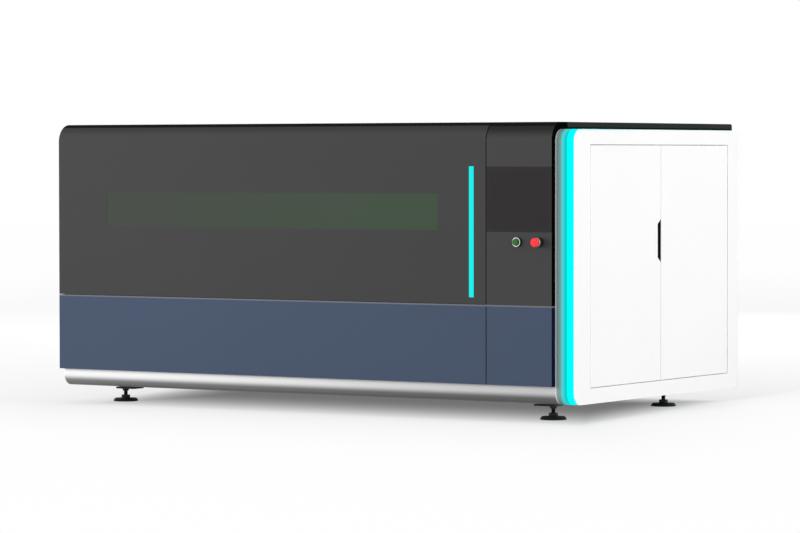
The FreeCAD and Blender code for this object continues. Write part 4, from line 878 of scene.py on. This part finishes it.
# %% Room and floor
def white_room(level):
    """Evenly lit room of this level; the camera, reflections and clear panes see its walls pure white."""
    world = bpy.data.worlds.new("white_room")
    bpy.context.scene.world = world
    world.use_nodes = True
    tree = world.node_tree
    tree.nodes.clear()
    rays = tree.nodes.new("ShaderNodeLightPath")
    strength = tree.nodes.new("ShaderNodeMapRange")
    strength.inputs["To Min"].default_value = level
    strength.inputs["To Max"].default_value = 1.0
    any_of = rays.outputs["Is Camera Ray"]
    for kind in ("Is Glossy Ray", "Is Transmission Ray"):
        either = tree.nodes.new("ShaderNodeMath")
        either.operation = "MAXIMUM"
        tree.links.new(any_of, either.inputs[0])
        tree.links.new(rays.outputs[kind], either.inputs[1])
        any_of = either.outputs[0]
    tree.links.new(any_of, strength.inputs["Value"])
    light = tree.nodes.new("ShaderNodeBackground")
    light.inputs["Color"].default_value = white
    tree.links.new(strength.outputs[0], light.inputs["Strength"])
    output = tree.nodes.new("ShaderNodeOutputWorld")
    tree.links.new(light.outputs[0], output.inputs["Surface"])


def pale_floor():
    """White floor with a painted shadow: its own grey glow under the machine keeps the shadow soft and
    grey.

    The distance past the edge of the shadow, negative inside it, sets the brightness: 0.19 + 0.61 t^2
    inside, with t rising from 0 at the depth to 1 at the edge, and outside it the rest of the way to
    white, half of it over the fringe. In front the shadow ends with the machine. Its left and right
    edges lean to the left as they run back, because the side lamp is at the right, and at the rear it
    reaches 190 mm further. Each side's distance is weighed, inside its edge and beyond it.
    """
    f = Finish("pale_floor")
    far_end, back = (float(c) for c in node_box("side_frame")[1][:2])
    x, y = f.axis("X"), f.axis("Y")
    depth, fringe, deepest = 1425.0, 160, 0.19
    left_edge = 290.0 - x - y * 0.3
    right_edge = x - (far_end + 90.0) + y * 0.12
    rear_edge = y - (back + 190.0)
    sides = ((0.0 - y, 1.0, 1.0), (left_edge, 2.0, 0.25), (right_edge, 2.5, 1.6), (rear_edge, 2.0, 0.1))
    weighed = [(d * inside).math("MINIMUM", d * beyond) for d, inside, beyond in sides]
    past = weighed[0]
    for other in weighed[1:]:
        past = past.math("MAXIMUM", other)
    t = (past + depth).math("DIVIDE", depth, clamp=True)
    outside = 1 - (1 + past.math("MAXIMUM", 0.0) * (1 / fringe)).math("POWER", -1.0)
    grey = t * t * 0.61 + outside * 0.2 + deepest
    # painted shadow: the floor's own grey glow, which makes the soft shadow under the machine
    painted_shadow = f.node("ShaderNodeEmission", sockets={"Color": f.blend(grey, black, white)})
    shaded = f.node("ShaderNodeBsdfDiffuse", sockets={"Color": (0.9, 0.9, 0.9, 1.0)})
    # the seen floor is 85 to 100 percent painted shadow and glow; the rest is lit by the lamps and keeps
    # their real shadow
    far = f.ramp(past, 0.0, 3000.0) * 0.15 + 0.85
    seen_floor = f.over(far, shaded, painted_shadow)
    dim = f.node("ShaderNodeBsdfDiffuse", sockets={"Color": (0.12, 0.12, 0.12, 1.0)})
    rays = f.node("ShaderNodeLightPath", out="Is Camera Ray")
    for kind in ("Is Glossy Ray", "Is Transmission Ray"):
        rays = rays.math("MAXIMUM", f.node("ShaderNodeLightPath", out=kind))
    return f.end(f.over(rays, dim, seen_floor))


white_room(0.5)
edge = 60
floor_corners = [(-edge, -edge, 0), (edge, -edge, 0), (edge, edge, 0), (-edge, edge, 0)]
floor_mesh = bpy.data.meshes.new("floor")
floor_mesh.from_pydata(floor_corners, [], [(0, 1, 2, 3)])
floor = bpy.data.objects.new("floor", floor_mesh)
bpy.context.scene.collection.objects.link(floor)
paint(floor, pale_floor())
print("stage: white room and floor")

# %% Soft lamps
def softbox(name, place, target, size, watts):
    """Large rectangular lamp at a place, aimed at a target."""
    lamp = bpy.data.lights.new(name, "AREA")
    lamp.shape = "RECTANGLE"
    lamp.size, lamp.size_y = size
    lamp.energy = watts
    holder = bpy.data.objects.new(name, lamp)
    bpy.context.scene.collection.objects.link(holder)
    holder.visible_glossy = False
    holder.location = place
    way = np.asarray(target, float) - np.asarray(place, float)
    flat = math.hypot(way[0], way[1])
    holder.rotation_euler = (math.atan2(flat, -way[2]), 0.0, math.atan2(way[1], way[0]) - math.pi / 2)


softbox("front_softbox", (-6.5, -9.5, 2.6), (0.0, -1.2, 0.9), (8.0, 4.0), 700.0)
softbox("corner_softbox", (5.0, -13.0, 2.6), (0.0, -1.2, 0.9), (5.0, 4.0), 560.0)
softbox("side_softbox", (12.0, 0.5, 2.4), (2.0, 0.0, 0.9), (6.0, 4.0), 800.0)
softbox("rear_softbox", (-5.0, 12.0, 6.0), (0.0, 1.2, 0.9), (8.0, 5.0), 1300.0)
print("lamps: front, corner, side and rear")

# %% [markdown]
# ## Camera
# A long lens from far away, a little below the roof's height, turned a third of a right angle to the front:
# so the verticals stay upright and the long front runs back gently.

# %% Camera
lens = bpy.data.cameras.new("camera")
lens.lens = 163.77
lens.sensor_width = 36.0
lens.clip_end = 200.0
camera = bpy.data.objects.new("camera", lens)
bpy.context.scene.collection.objects.link(camera)
camera.location = (13.6857, -21.5436, 1.7368)
camera.rotation_euler = tuple(math.radians(a) for a in (88.2439, 0.0657, 32.4426))
bpy.context.scene.camera = camera
bpy.context.scene.view_settings.view_transform = "Standard"
